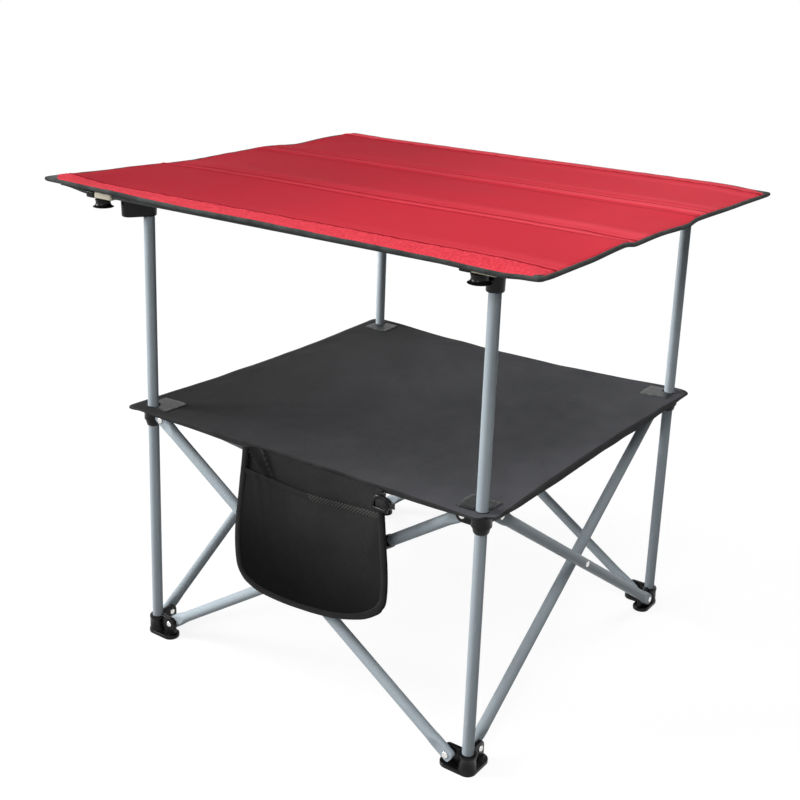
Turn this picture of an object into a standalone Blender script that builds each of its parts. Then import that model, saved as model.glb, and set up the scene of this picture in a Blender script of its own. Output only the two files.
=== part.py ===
# Folding camp table: a four-post scissor frame, a fabric shelf with a hanging pocket,
# and a fabric-covered top in three panels that lifts off and folds.
# Metres, +Z up. The origin is on the ground under the middle of the top.
# The corners are called left, front, right and back, as they appear when the table is
# seen from -Y and a little from +X; left and front are the two posts nearest -Y.

import math

import bmesh
import bpy
from mathutils import Matrix, Vector

# Frame, spaced so that its heads stay inside the top's long edges
TOP_WIDTH = 0.725
POST_EDGE_DISTANCE = 0.0775
POST_SPACING = TOP_WIDTH - 2 * POST_EDGE_DISTANCE
FRAME_SHIFT_X = 0.015
TUBE_RADIUS = 0.008
TUBE_WALL = 0.0012
TUBE_SIDES = 12
ROUND_SIDES = 20
HALF_ROUND_STEPS = 8
CORNER_STEPS = 4
CUT_MARGIN = 0.010

# Gaps between neighbours, and how near two points count as one
TOUCH_GAP = 0.0003
SLIDE_GAP = 0.0004
POST_END_GAP = 0.0003
MERGE_DISTANCE = 1e-6

# Pivots of the scissor braces
PIVOT_REACH = 0.027
FOOT_PIVOT_HEIGHT = 0.021
HUB_PIVOT_HEIGHT = 0.361

# Braces
BRACE_END_HALF_THICKNESS = 0.005
BRACE_END_HALF_WIDTH = 0.0097
BRACE_END_PAST_PIVOT = 0.009
BRACE_END_FLAT_LENGTH = 0.012
BRACE_END_TAPER = 0.022
BRACE_TIP_ROUNDING = 0.0045
BRACE_TIP_NARROWING = 0.66
CROSSING_FLAT_HEIGHT = 0.0068
CROSSING_FLAT_LENGTH = 0.008
CROSSING_FLAT_TAPER = 0.008

# Ears that carry the pivots
EAR_THICKNESS = 0.006
HUB_EAR_RADIUS = 0.010
FOOT_EAR_RADIUS = 0.0105

# Rivets
RIVET_RADIUS = 0.0025
RIVET_CLEARANCE = 0.0003
RIVET_HEAD_RADIUS = 0.0046
RIVET_HEAD_HEIGHT = 0.0020
RIVET_CROWN_WIDTH = 0.0028
RIVET_CROWN_HEIGHT = 0.0016
RIVET_SIDES = 8
DRILL_TURN = math.radians(11)

# Hubs
HUB_RISE = 0.0110
HUB_COLLAR_RADIUS = 0.0135
HUB_COLLAR_DROP = 0.009
HUB_SKIRT_STEP = 0.0006
HUB_SKIRT_BOTTOM_RADIUS = 0.0105
HUB_SKIRT_DROP = 0.022
HUB_FLANGE_RADIUS = 0.0165
HUB_FLANGE_THICKNESS = 0.003

# Feet
FOOT_SOCKET_RADIUS = 0.0125
FOOT_SOCKET_HEIGHT = 0.034
FOOT_BASE_THICKNESS = 0.006
FOOT_ARM_HALF_WIDTH = 0.0132
FOOT_ARM_REACH = 0.0275

# Heads
HEAD_HEIGHT = 0.0417
HEAD_RADIUS = 0.012
HEAD_REACH = 0.028
HEAD_TAPER = 0.0012
HEAD_TURN = math.radians(225)
POST_DEPTH_IN_HEAD = 0.025

# Shelf cloth
SHELF_THICKNESS = 0.0015
SHELF_CORNER_OVERHANG = 0.029
SHELF_EDGE_SAG_IN = 0.010
SHELF_CORNER_RADIUS = 0.010
SHELF_HOLE_CLEARANCE = 0.0010
SHELF_EDGE_STEPS = 12
PATCH_THICKNESS = 0.0012
PATCH_REACH = 0.037
PATCH_FOLD_DISTANCE = 0.030
PATCH_CORNER_RADIUS = 0.006

# Pocket
POCKET_WIDTH = 0.262
POCKET_OFFSET = 0.031
POCKET_DROP = 0.2168
POCKET_BOTTOM_TILT = 0.014
POCKET_MOUTH_DROP = 0.0418
POCKET_WALL = 0.002
POCKET_DEPTH = 0.018
POCKET_CORNER_RADIUS = 0.055
POCKET_SETBACK = 0.0006

# Table top
TOP_LENGTH = 0.800
TOP_HEIGHT = 0.7035
TOP_THICKNESS = 0.0065
TOP_CORNER_RADIUS = 0.012
FOLD_LINE_DISTANCE = 0.117
PANEL_GAP = 0.0004

# Hem rods and clamp knobs under the long edges of the top
ROD_RADIUS = 0.004
ROD_EDGE_DISTANCE = 0.0225
ROD_END_MARGIN = 0.014
KNOB_PAST_POST = 0.023
KNOB_EDGE_DISTANCE = 0.0275
BRACKET_LENGTH = 0.020
BRACKET_WIDTH = 0.017
BRACKET_HEIGHT = 0.0105
STUD_RADIUS = 0.0025
STUD_LENGTH = 0.011
KNOB_RADIUS = 0.010
KNOB_WAIST = 0.0012
KNOB_HEIGHT = 0.012
KNOB_RIM_HEIGHT = 0.003
KNOB_EDGE = 0.001
KNOB_FLANGE_RADIUS = 0.0145
KNOB_FLANGE_THICKNESS = 0.0022

CORNER_NAMES = ("left", "front", "right", "back")
SIDE_NAMES = ("near_left", "near_right", "far_right", "far_left")
CORNER_SIGNS = {"left": (-1, -1), "front": (1, -1), "right": (1, 1), "back": (-1, 1)}
QUARTER_TURN = math.pi / 2
EMPTY_SIZE = 0.02

# Brace tubes lie beside the ears, one outside and one inside the plane of the posts
BRACE_OFFSET = EAR_THICKNESS / 2 + TOUCH_GAP + BRACE_END_HALF_THICKNESS
BRACE_RUN = POST_SPACING - 2 * PIVOT_REACH
BRACE_RISE = HUB_PIVOT_HEIGHT - FOOT_PIVOT_HEIGHT
BRACE_LENGTH = math.hypot(BRACE_RUN, BRACE_RISE)
RIVET_HOLE_RADIUS = RIVET_RADIUS + RIVET_CLEARANCE
POST_BORE_RADIUS = TUBE_RADIUS + SLIDE_GAP
SHELF_BOTTOM = HUB_PIVOT_HEIGHT + HUB_RISE + TOUCH_GAP
SHELF_TOP = SHELF_BOTTOM + SHELF_THICKNESS
SHELF_HALF = POST_SPACING / 2 + SHELF_CORNER_OVERHANG
POCKET_LEFT = FRAME_SHIFT_X + POCKET_OFFSET - POCKET_WIDTH / 2
POCKET_RIGHT = POCKET_LEFT + POCKET_WIDTH
TOP_UNDERSIDE = TOP_HEIGHT - TOP_THICKNESS
HEAD_TOP_HEIGHT = TOP_UNDERSIDE - TOUCH_GAP
HEAD_BOTTOM_HEIGHT = HEAD_TOP_HEIGHT - HEAD_HEIGHT
POST_TOP_HEIGHT = HEAD_BOTTOM_HEIGHT + POST_DEPTH_IN_HEAD
ROD_HEIGHT = TOP_UNDERSIDE - TOUCH_GAP - ROD_RADIUS
BRACKET_BOTTOM = TOP_UNDERSIDE - TOUCH_GAP - BRACKET_HEIGHT
KNOB_Y = TOP_WIDTH / 2 - KNOB_EDGE_DISTANCE
KNOB_SPACING = POST_SPACING + 2 * KNOB_PAST_POST

COLOURS = {
    "painted_steel": ((0.31, 0.37, 0.41), 0.35, 0.6),
    "black_plastic": ((0.014, 0.013, 0.015), 0.38, 0.0),
    "rivet_steel": ((0.72, 0.72, 0.70), 0.28, 1.0),
    "shelf_cloth": ((0.040, 0.040, 0.043), 0.75, 0.0),
    "patch_vinyl": ((0.20, 0.21, 0.22), 0.45, 0.0),
    "pocket_cloth": ((0.018, 0.018, 0.019), 0.7, 0.0),
    "top_cloth": ((0.49, 0.026, 0.045), 0.42, 0.0),
    "hem_rod": ((0.10, 0.11, 0.11), 0.5, 0.0),
}


def clear_scene():
    for item in list(bpy.data.objects):
        bpy.data.objects.remove(item, do_unlink=True)


def make_materials():
    made = {}
    for name, (colour, roughness, metallic) in COLOURS.items():
        material = bpy.data.materials.new(name)
        material.use_nodes = True
        shader = material.node_tree.nodes["Principled BSDF"]
        shader.inputs["Base Color"].default_value = (*colour, 1.0)
        shader.inputs["Roughness"].default_value = roughness
        shader.inputs["Metallic"].default_value = metallic
        made[name] = material
    return made


# Basic shapes, each returned as a bmesh

def cylinder(radius, low, high, sides=ROUND_SIDES, top_radius=None):
    shape = bmesh.new()
    bmesh.ops.create_cone(
        shape, cap_ends=True, segments=sides, radius1=radius,
        radius2=radius if top_radius is None else top_radius, depth=high - low)
    bmesh.ops.translate(shape, verts=shape.verts, vec=(0, 0, (low + high) / 2))
    return shape


def box(low, high):
    shape = bmesh.new()
    bmesh.ops.create_cube(shape, size=1.0)
    low, high = Vector(low), Vector(high)
    bmesh.ops.scale(shape, verts=shape.verts, vec=high - low)
    bmesh.ops.translate(shape, verts=shape.verts, vec=(low + high) / 2)
    return shape


def turned(profile, sides):
    # The profile is a list of (radius, height) that starts and ends on the axis
    shape = bmesh.new()
    points = [shape.verts.new((radius, 0, height)) for radius, height in profile]
    edges = [shape.edges.new(pair) for pair in zip(points, points[1:])]
    bmesh.ops.spin(
        shape, geom=points + edges, axis=(0, 0, 1), cent=(0, 0, 0),
        angle=math.tau, steps=sides, use_merge=True)
    bmesh.ops.remove_doubles(shape, verts=shape.verts, dist=MERGE_DISTANCE)
    bmesh.ops.recalc_face_normals(shape, faces=shape.faces)
    return shape


def extruded(outline, low, high):
    # The outline is a list of (x, y), anticlockwise, raised from low to high
    shape = bmesh.new()
    face = shape.faces.new([shape.verts.new((x, y, low)) for x, y in outline])
    raised = bmesh.ops.extrude_face_region(shape, geom=[face])
    tops = [item for item in raised["geom"] if isinstance(item, bmesh.types.BMVert)]
    bmesh.ops.translate(shape, verts=tops, vec=(0, 0, high - low))
    bmesh.ops.recalc_face_normals(shape, faces=shape.faces)
    return shape


def turned_to(shape, matrix):
    bmesh.ops.transform(shape, matrix=matrix, verts=shape.verts)
    return shape


def arc(centre, radius, start, end, steps):
    # Points from angle start to angle end, both included
    return [
        (centre[0] + radius * math.cos(start + (end - start) * step / steps),
         centre[1] + radius * math.sin(start + (end - start) * step / steps))
        for step in range(steps + 1)]


def stadium(centre_distance, radius, steps):
    # Two round ends, the first about the origin and the second along +X
    near_end = arc((0, 0), radius, QUARTER_TURN, 3 * QUARTER_TURN, steps)
    far_end = arc((centre_distance, 0), radius, -QUARTER_TURN, QUARTER_TURN, steps)
    return near_end + far_end


def mesh_from(shape, name):
    mesh = bpy.data.meshes.new(name)
    shape.to_mesh(mesh)
    shape.free()
    return mesh


def object_from(shape, name):
    made = bpy.data.objects.new(name, mesh_from(shape, name))
    bpy.context.scene.collection.objects.link(made)
    return made


def joined(shapes, cuts=()):
    # Boolean union of the shapes, less the cuts, as one mesh
    base = object_from(shapes[0], "working_shape")
    helpers = []
    steps = [(shape, "UNION") for shape in shapes[1:]]
    steps += [(shape, "DIFFERENCE") for shape in cuts]
    for shape, operation in steps:
        helper = object_from(shape, "working_tool")
        helpers.append(helper)
        modifier = base.modifiers.new("join", "BOOLEAN")
        modifier.operation = operation
        modifier.solver = "EXACT"
        modifier.object = helper
    bpy.context.view_layer.update()
    evaluated = base.evaluated_get(bpy.context.evaluated_depsgraph_get())
    mesh = bpy.data.meshes.new_from_object(evaluated)
    for item in [base] + helpers:
        bpy.data.objects.remove(item, do_unlink=True)
    return mesh


def smoothed(mesh, angle=40):
    mesh.shade_smooth()
    mesh.set_sharp_from_angle(angle=math.radians(angle))
    return mesh


def placed(name, mesh, matrix, material, joint):
    # Hangs the piece from the empty that stands on its body's joint
    made = bpy.data.objects.new(name, mesh)
    if not mesh.materials:
        mesh.materials.append(material)
    bpy.context.scene.collection.objects.link(made)
    made.matrix_world = matrix
    made.parent = joint
    made.matrix_parent_inverse = Matrix.Translation(joint.location).inverted()


def joint_empty(name, location):
    made = bpy.data.objects.new("joint_" + name, None)
    made.empty_display_size = EMPTY_SIZE
    made.location = location
    bpy.context.scene.collection.objects.link(made)
    return made


# Places

def corner_frame(corner):
    # Origin on the post at ground level, +X along the side to the next corner,
    # +Y along the side to the corner before, both towards the inside
    half = POST_SPACING / 2
    return (
        Matrix.Translation((FRAME_SHIFT_X, 0, 0))
        @ Matrix.Rotation(QUARTER_TURN * corner, 4, "Z")
        @ Matrix.Translation((-half, -half, 0)))


def on_side(side, distance, height):
    # A point in the plane of two neighbouring posts
    return corner_frame(side) @ Vector((distance, 0, height))


def joint_places():
    # Where each moving body turns, or stands if it is the one that stays
    near, far = PIVOT_REACH, POST_SPACING - PIVOT_REACH
    low, high = FOOT_PIVOT_HEIGHT, HUB_PIVOT_HEIGHT
    crossing = (POST_SPACING / 2, (low + high) / 2)
    places = {
        "left_leg": on_side(0, 0, 0),
        "front_leg": on_side(0, far, low),
        "right_leg": on_side(1, far, low),
        "back_leg": on_side(3, near, low),
        "left_slider": on_side(0, near, high),
        "front_slider": on_side(0, far, high),
        "right_slider": on_side(1, far, high),
        "back_slider": on_side(3, near, high),
        "inner_near_left": on_side(0, near, low),
        "outer_near_left": on_side(0, *crossing),
        "inner_near_right": on_side(1, near, low),
        "outer_near_right": on_side(1, *crossing),
        "outer_far_right": on_side(2, far, low),
        "inner_far_right": on_side(2, *crossing),
        "outer_far_left": on_side(3, far, low),
        "inner_far_left": on_side(3, *crossing),
        "top_middle": Vector((0, 0, TOP_HEIGHT)),
        "top_near": Vector((0, -FOLD_LINE_DISTANCE, TOP_HEIGHT)),
        "top_far": Vector((0, FOLD_LINE_DISTANCE, TOP_HEIGHT)),
    }
    fold = PATCH_FOLD_DISTANCE / math.sqrt(2)
    for corner, name in enumerate(CORNER_NAMES):
        places["shelf_corner_" + name] = corner_frame(corner) @ Vector((fold, fold, SHELF_TOP))
    for name, (sign_x, sign_y) in CORNER_SIGNS.items():
        places["knob_" + name] = Vector((
            sign_x * KNOB_SPACING / 2, sign_y * KNOB_Y, BRACKET_BOTTOM))
    return places


def brace_frame(side, outer):
    # Origin on the lower pivot, +X along the brace, +Y outwards from the table
    across = Vector((-BRACE_RUN if outer else BRACE_RUN, 0, BRACE_RISE)).normalized()
    outward = Vector((0, -1, 0))
    upward = across.cross(outward)
    start = Vector((
        POST_SPACING - PIVOT_REACH if outer else PIVOT_REACH,
        -BRACE_OFFSET if outer else BRACE_OFFSET,
        FOOT_PIVOT_HEIGHT))
    axes = Matrix((across, outward, upward)).transposed().to_4x4()
    return corner_frame(side) @ Matrix.Translation(start) @ axes


def along_y(shape):
    # Turns a shape's +Z to +Y
    return turned_to(shape, Matrix.Rotation(-QUARTER_TURN, 4, "X"))


# Frame pieces

def tube_skin(stations):
    # Each station is (distance, ring), the ring being a function of the angle
    # that gives the two cross coordinates. The skin is open at both ends.
    shape = bmesh.new()
    bmesh.ops.create_circle(shape, cap_ends=False, segments=TUBE_SIDES, radius=TUBE_RADIUS)
    ring_verts = sorted(shape.verts, key=lambda vert: math.atan2(vert.co.y, vert.co.x))
    angles = [math.atan2(vert.co.y, vert.co.x) for vert in ring_verts]
    edges = list(shape.edges)

    def put(verts, distance, ring):
        for vert, angle in zip(verts, angles):
            vert.co = (distance, *ring(angle))

    for index, (distance, ring) in enumerate(stations):
        if index:
            grown = bmesh.ops.extrude_edge_only(shape, edges=edges)["geom"]
            edges = [item for item in grown if isinstance(item, bmesh.types.BMEdge)]
            fresh = [item for item in grown if isinstance(item, bmesh.types.BMVert)]
            matched = []
            for old in ring_verts:
                matched.append(next(
                    edge.other_vert(old) for edge in old.link_edges
                    if edge.other_vert(old) in fresh))
            ring_verts = matched
        put(ring_verts, distance, ring)
    bmesh.ops.recalc_face_normals(shape, faces=shape.faces)
    return shape


def walled(shape, wall):
    # Gives an open skin its wall, inwards
    base = object_from(shape, "working_tube")
    modifier = base.modifiers.new("wall", "SOLIDIFY")
    modifier.thickness = wall
    modifier.offset = -1.0
    modifier.use_even_offset = True
    bpy.context.view_layer.update()
    evaluated = base.evaluated_get(bpy.context.evaluated_depsgraph_get())
    mesh = bpy.data.meshes.new_from_object(evaluated)
    bpy.data.objects.remove(base, do_unlink=True)
    solid = bmesh.new()
    solid.from_mesh(mesh)
    bpy.data.meshes.remove(mesh)
    return solid


def round_ring(angle):
    return TUBE_RADIUS * math.cos(angle), TUBE_RADIUS * math.sin(angle)


def flattened_ring(share, narrowing=1.0):
    # share 0 is the round tube and share 1 the pressed end
    half_thickness = TUBE_RADIUS + share * (BRACE_END_HALF_THICKNESS - TUBE_RADIUS)
    half_width = TUBE_RADIUS + share * (BRACE_END_HALF_WIDTH - TUBE_RADIUS)
    sharpness = 1 + share / 2

    def ring(angle):
        press = max(-1.0, min(1.0, sharpness * math.cos(angle)))
        return half_thickness * press, half_width * narrowing * math.sin(angle)
    return ring


def dented_ring(angle):
    # Round, but pressed flat on its outward side where the crossing rivet sits
    across, up = round_ring(angle)
    return min(across, CROSSING_FLAT_HEIGHT), up


def mirrored_dented_ring(angle):
    across, up = round_ring(angle)
    return max(across, -CROSSING_FLAT_HEIGHT), up


def brace_mesh(outer):
    dented = dented_ring if outer else mirrored_dented_ring
    tip = BRACE_END_PAST_PIVOT
    stations = [
        (-tip, flattened_ring(1, BRACE_TIP_NARROWING)),
        (-tip + BRACE_TIP_ROUNDING, flattened_ring(1)),
        (BRACE_END_FLAT_LENGTH, flattened_ring(1)),
        (BRACE_END_FLAT_LENGTH + BRACE_END_TAPER, round_ring),
    ]
    middle = BRACE_LENGTH / 2
    dent = CROSSING_FLAT_LENGTH
    stations += [
        (middle - dent - CROSSING_FLAT_TAPER, round_ring),
        (middle - dent, dented),
        (middle + dent, dented),
        (middle + dent + CROSSING_FLAT_TAPER, round_ring),
    ]
    stations += [
        (BRACE_LENGTH - distance, ring) for distance, ring in reversed(stations[:4])]
    solid = walled(tube_skin(stations), TUBE_WALL)
    holes = []
    for distance in (0, middle, BRACE_LENGTH):
        drill = cylinder(RIVET_HOLE_RADIUS, -2 * TUBE_RADIUS, 2 * TUBE_RADIUS, RIVET_SIDES)
        turned_to(drill, Matrix.Rotation(DRILL_TURN, 4, "Z"))
        along_y(drill)
        holes.append(turned_to(drill, Matrix.Translation((distance, 0, 0))))
    return smoothed(joined([solid], holes))


def post_mesh():
    low = FOOT_BASE_THICKNESS + POST_END_GAP
    skin = tube_skin([(low, round_ring), (POST_TOP_HEIGHT, round_ring)])
    upright = Matrix(((0, 1, 0, 0), (0, 0, 1, 0), (1, 0, 0, 0), (0, 0, 0, 1)))
    return smoothed(mesh_from(turned_to(walled(skin, TUBE_WALL), upright), "post"))


def ear(radius, low, high, reach_start):
    # A plate in the XZ plane, from the collar out to an end about the pivot that is
    # round all over, or round above and straight down to the base
    pivot = (PIVOT_REACH, 0)
    outline = [(reach_start, low)]
    if low < -radius:
        outline += [(PIVOT_REACH + radius, low)]
        outline += arc(pivot, radius, 0, QUARTER_TURN, HALF_ROUND_STEPS // 2)
    else:
        outline += arc(pivot, radius, -QUARTER_TURN, QUARTER_TURN, HALF_ROUND_STEPS)
    outline += [(reach_start, high)]
    plate = extruded(outline, -EAR_THICKNESS / 2, EAR_THICKNESS / 2)
    return turned_to(plate, Matrix.Rotation(QUARTER_TURN, 4, "X"))


def both_ears(radius, low, high, reach_start):
    swap = Matrix(((0, 1, 0, 0), (1, 0, 0, 0), (0, 0, 1, 0), (0, 0, 0, 1)))
    first = ear(radius, low, high, reach_start)
    second = turned_to(ear(radius, low, high, reach_start), swap)
    bmesh.ops.recalc_face_normals(second, faces=second.faces)
    return [first, second]


def pivot_holes(height):
    span = 2 * EAR_THICKNESS
    first = along_y(cylinder(RIVET_HOLE_RADIUS, -span, span, RIVET_SIDES))
    turned_to(first, Matrix.Translation((PIVOT_REACH, 0, height)))
    second = along_y(cylinder(RIVET_HOLE_RADIUS, -span, span, RIVET_SIDES))
    turned_to(second, Matrix.Rotation(QUARTER_TURN, 4, "Z"))
    turned_to(second, Matrix.Translation((0, PIVOT_REACH, height)))
    return [first, second]


def hub_mesh():
    # Heights are measured from the pivots
    collar = cylinder(HUB_COLLAR_RADIUS, -HUB_COLLAR_DROP, HUB_RISE)
    skirt = cylinder(
        HUB_SKIRT_BOTTOM_RADIUS, -HUB_SKIRT_DROP, -HUB_COLLAR_DROP / 2, ROUND_SIDES,
        HUB_COLLAR_RADIUS - HUB_SKIRT_STEP)
    flange = cylinder(HUB_FLANGE_RADIUS, HUB_RISE - HUB_FLANGE_THICKNESS, HUB_RISE)
    ears = both_ears(HUB_EAR_RADIUS, -HUB_EAR_RADIUS, HUB_RISE, TUBE_RADIUS + TUBE_WALL)
    bore = cylinder(
        POST_BORE_RADIUS, -HUB_SKIRT_DROP - CUT_MARGIN, HUB_RISE + CUT_MARGIN, TUBE_SIDES * 2)
    return smoothed(joined([collar, skirt, flange] + ears, [bore] + pivot_holes(0)))


def foot_mesh():
    # Heights are measured from the ground
    socket = cylinder(FOOT_SOCKET_RADIUS, 0, FOOT_SOCKET_HEIGHT)
    arms = []
    for turn in (0, QUARTER_TURN):
        outline = stadium(FOOT_ARM_REACH, FOOT_ARM_HALF_WIDTH, HALF_ROUND_STEPS)
        arm = extruded(outline, 0, FOOT_BASE_THICKNESS)
        arms.append(turned_to(arm, Matrix.Rotation(turn, 4, "Z")))
    low = FOOT_BASE_THICKNESS / 2 - FOOT_PIVOT_HEIGHT
    ears = both_ears(FOOT_EAR_RADIUS, low, FOOT_EAR_RADIUS, TUBE_RADIUS + TUBE_WALL)
    for item in ears:
        bmesh.ops.translate(item, verts=item.verts, vec=(0, 0, FOOT_PIVOT_HEIGHT))
    bore = cylinder(
        POST_BORE_RADIUS, FOOT_BASE_THICKNESS, FOOT_SOCKET_HEIGHT + CUT_MARGIN, TUBE_SIDES * 2)
    holes = pivot_holes(FOOT_PIVOT_HEIGHT)
    return smoothed(joined(arms + [socket] + ears, [bore] + holes))


def head_mesh():
    outline = stadium(HEAD_REACH, HEAD_RADIUS, HALF_ROUND_STEPS)
    block = extruded(outline, HEAD_BOTTOM_HEIGHT, HEAD_TOP_HEIGHT)
    middle = Vector((HEAD_REACH / 2, 0, 0))
    for vert in block.verts:
        if abs(vert.co.z - HEAD_BOTTOM_HEIGHT) < MERGE_DISTANCE:
            offset = Vector((vert.co.x, vert.co.y, 0)) - middle
            vert.co -= offset.normalized() * HEAD_TAPER
    turned_to(block, Matrix.Rotation(HEAD_TURN, 4, "Z"))
    bore = cylinder(
        POST_BORE_RADIUS, HEAD_BOTTOM_HEIGHT - CUT_MARGIN, POST_TOP_HEIGHT + POST_END_GAP,
        TUBE_SIDES * 2)
    return smoothed(joined([block], [bore]))


def rivet_mesh(low, high):
    # Shank along +Y with a domed head past each of the two faces
    low_face, high_face = low - TOUCH_GAP, high + TOUCH_GAP
    profile = [
        (0, low_face - RIVET_HEAD_HEIGHT),
        (RIVET_CROWN_WIDTH, low_face - RIVET_CROWN_HEIGHT),
        (RIVET_HEAD_RADIUS, low_face),
        (RIVET_RADIUS, low_face),
        (RIVET_RADIUS, high_face),
        (RIVET_HEAD_RADIUS, high_face),
        (RIVET_CROWN_WIDTH, high_face + RIVET_CROWN_HEIGHT),
        (0, high_face + RIVET_HEAD_HEIGHT)]
    return smoothed(mesh_from(along_y(turned(profile, RIVET_SIDES)), "rivet"))


# Fabric pieces and top

def post_hole(low, high):
    # Cuts cloth clear of a post
    radius = POST_BORE_RADIUS + SHELF_HOLE_CLEARANCE
    return cylinder(radius, low - CUT_MARGIN, high + CUT_MARGIN, ROUND_SIDES)


def shelf_edge(distance):
    # Where the near edge lies at a distance from its middle, drawn in between its corners
    share = distance / (SHELF_HALF - SHELF_CORNER_RADIUS)
    return -SHELF_HALF + SHELF_EDGE_SAG_IN * (1 - share * share)


def shelf_mesh():
    inner = SHELF_HALF - SHELF_CORNER_RADIUS
    edge = arc((-inner, -inner), SHELF_CORNER_RADIUS,
               2 * QUARTER_TURN, 3 * QUARTER_TURN, CORNER_STEPS)
    for step in range(1, SHELF_EDGE_STEPS):
        along = inner * (2 * step / SHELF_EDGE_STEPS - 1)
        edge.append((along, shelf_edge(along)))
    outline = []
    for index in range(4):
        turn = Matrix.Rotation(QUARTER_TURN * index, 2)
        outline += [tuple(turn @ Vector(point)) for point in edge]
    sheet = extruded(outline, SHELF_BOTTOM, SHELF_TOP)
    holes = []
    half = POST_SPACING / 2
    for sign_x, sign_y in CORNER_SIGNS.values():
        hole = post_hole(SHELF_BOTTOM, SHELF_TOP)
        holes.append(turned_to(hole, Matrix.Translation((sign_x * half, sign_y * half, 0))))
    return joined([sheet], holes)


def patch_mesh():
    # The tongue of the corner reinforcement, from the line it folds on inwards
    fold_end = PATCH_FOLD_DISTANCE * math.sqrt(2) - PATCH_REACH
    rounding = PATCH_REACH - PATCH_CORNER_RADIUS
    outline = [(PATCH_REACH, fold_end)]
    outline += arc((rounding, rounding), PATCH_CORNER_RADIUS, 0, QUARTER_TURN, CORNER_STEPS)
    outline += [(fold_end, PATCH_REACH)]
    low = SHELF_TOP + TOUCH_GAP
    return mesh_from(extruded(outline, low, low + PATCH_THICKNESS), "patch")


def pocket_outline(inset, top):
    left, right = POCKET_LEFT + inset, POCKET_RIGHT - inset
    low_left = SHELF_TOP - POCKET_DROP + inset
    low_right = low_left + POCKET_BOTTOM_TILT
    radius = POCKET_CORNER_RADIUS - inset
    bottom = arc((left + radius, low_left + radius), radius,
                 2 * QUARTER_TURN, 3 * QUARTER_TURN, HALF_ROUND_STEPS)
    bottom += arc((right - radius, low_right + radius), radius,
                  3 * QUARTER_TURN, 4 * QUARTER_TURN, HALF_ROUND_STEPS)
    return bottom + [(right, top), (left, top)]


def pocket_mesh():
    # Built in the XZ plane, its back panel against the shelf's near edge
    back = shelf_edge(abs(POCKET_OFFSET) + POCKET_WIDTH / 2) - POCKET_SETBACK
    front = back - POCKET_DEPTH
    over = SHELF_TOP + CUT_MARGIN
    stand_up = Matrix.Rotation(QUARTER_TURN, 4, "X")
    shell = turned_to(extruded(pocket_outline(0, SHELF_TOP), -back, -front), stand_up)
    hollow_outline = pocket_outline(POCKET_WALL, over)
    hollow = extruded(hollow_outline, -back + POCKET_WALL, -front - POCKET_WALL)
    hollow = turned_to(hollow, stand_up)
    mouth = box(
        (POCKET_LEFT - CUT_MARGIN, front - CUT_MARGIN, SHELF_TOP - POCKET_MOUTH_DROP),
        (POCKET_RIGHT + CUT_MARGIN, back - POCKET_WALL, over))
    return joined([shell], [hollow, mouth])


def panel_mesh(low_y, high_y, round_low, round_high):
    half = TOP_LENGTH / 2
    radius = TOP_CORNER_RADIUS
    outline = []
    if round_low:
        outline += arc((-half + radius, low_y + radius), radius,
                       2 * QUARTER_TURN, 3 * QUARTER_TURN, CORNER_STEPS)
        outline += arc((half - radius, low_y + radius), radius,
                       3 * QUARTER_TURN, 4 * QUARTER_TURN, CORNER_STEPS)
    else:
        outline += [(-half, low_y), (half, low_y)]
    if round_high:
        outline += arc((half - radius, high_y - radius), radius,
                       0, QUARTER_TURN, CORNER_STEPS)
        outline += arc((-half + radius, high_y - radius), radius,
                       QUARTER_TURN, 2 * QUARTER_TURN, CORNER_STEPS)
    else:
        outline += [(half, high_y), (-half, high_y)]
    return mesh_from(extruded(outline, TOP_UNDERSIDE, TOP_HEIGHT), "panel")


def hem_rod_mesh():
    # The near rod with its two knob brackets and their studs
    half = TOP_LENGTH / 2 - ROD_END_MARGIN
    rod_y = -TOP_WIDTH / 2 + ROD_EDGE_DISTANCE
    lie_along_x = Matrix.Rotation(QUARTER_TURN, 4, "Y")
    rod = turned_to(cylinder(ROD_RADIUS, -half, half, TUBE_SIDES), lie_along_x)
    shapes = [turned_to(rod, Matrix.Translation((0, rod_y, ROD_HEIGHT)))]
    # The bracket stops just short of the rod's top, so that no two faces fall together
    bracket = Vector((BRACKET_LENGTH, BRACKET_WIDTH, BRACKET_HEIGHT - TOUCH_GAP))
    middle_height = BRACKET_BOTTOM + bracket.z / 2
    for knob_x in (-KNOB_SPACING / 2, KNOB_SPACING / 2):
        centre = Vector((knob_x, -KNOB_Y, middle_height))
        shapes.append(box(centre - bracket / 2, centre + bracket / 2))
        stud = cylinder(STUD_RADIUS, 0, BRACKET_LENGTH / 2 + STUD_LENGTH, TUBE_SIDES)
        turned_to(stud, lie_along_x)
        shapes.append(turned_to(stud, Matrix.Translation(centre)))
    return smoothed(joined(shapes))


def knob_mesh():
    # A waisted spool on a flange, hanging from its bracket
    top = -TOUCH_GAP
    bottom = top - KNOB_HEIGHT
    neck = bottom + KNOB_FLANGE_THICKNESS
    waist = KNOB_RADIUS - KNOB_WAIST
    profile = [
        (0, bottom),
        (KNOB_FLANGE_RADIUS, bottom),
        (KNOB_FLANGE_RADIUS, neck),
        (waist, neck + KNOB_EDGE),
        (waist, top - KNOB_RIM_HEIGHT),
        (KNOB_RADIUS, top - KNOB_EDGE),
        (KNOB_RADIUS - KNOB_EDGE, top),
        (0, top)]
    return smoothed(mesh_from(turned(profile, ROUND_SIDES), "knob"))


# Assembly

def build_posts(materials, joints):
    post = post_mesh()
    foot = foot_mesh()
    head = head_mesh()
    for corner, name in enumerate(CORNER_NAMES):
        place = corner_frame(corner)
        leg = joints[name + "_leg"]
        placed("post_" + name, post, place, materials["painted_steel"], leg)
        placed("foot_" + name, foot, place, materials["black_plastic"], leg)
        placed("head_" + name, head, place, materials["black_plastic"], leg)


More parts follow.
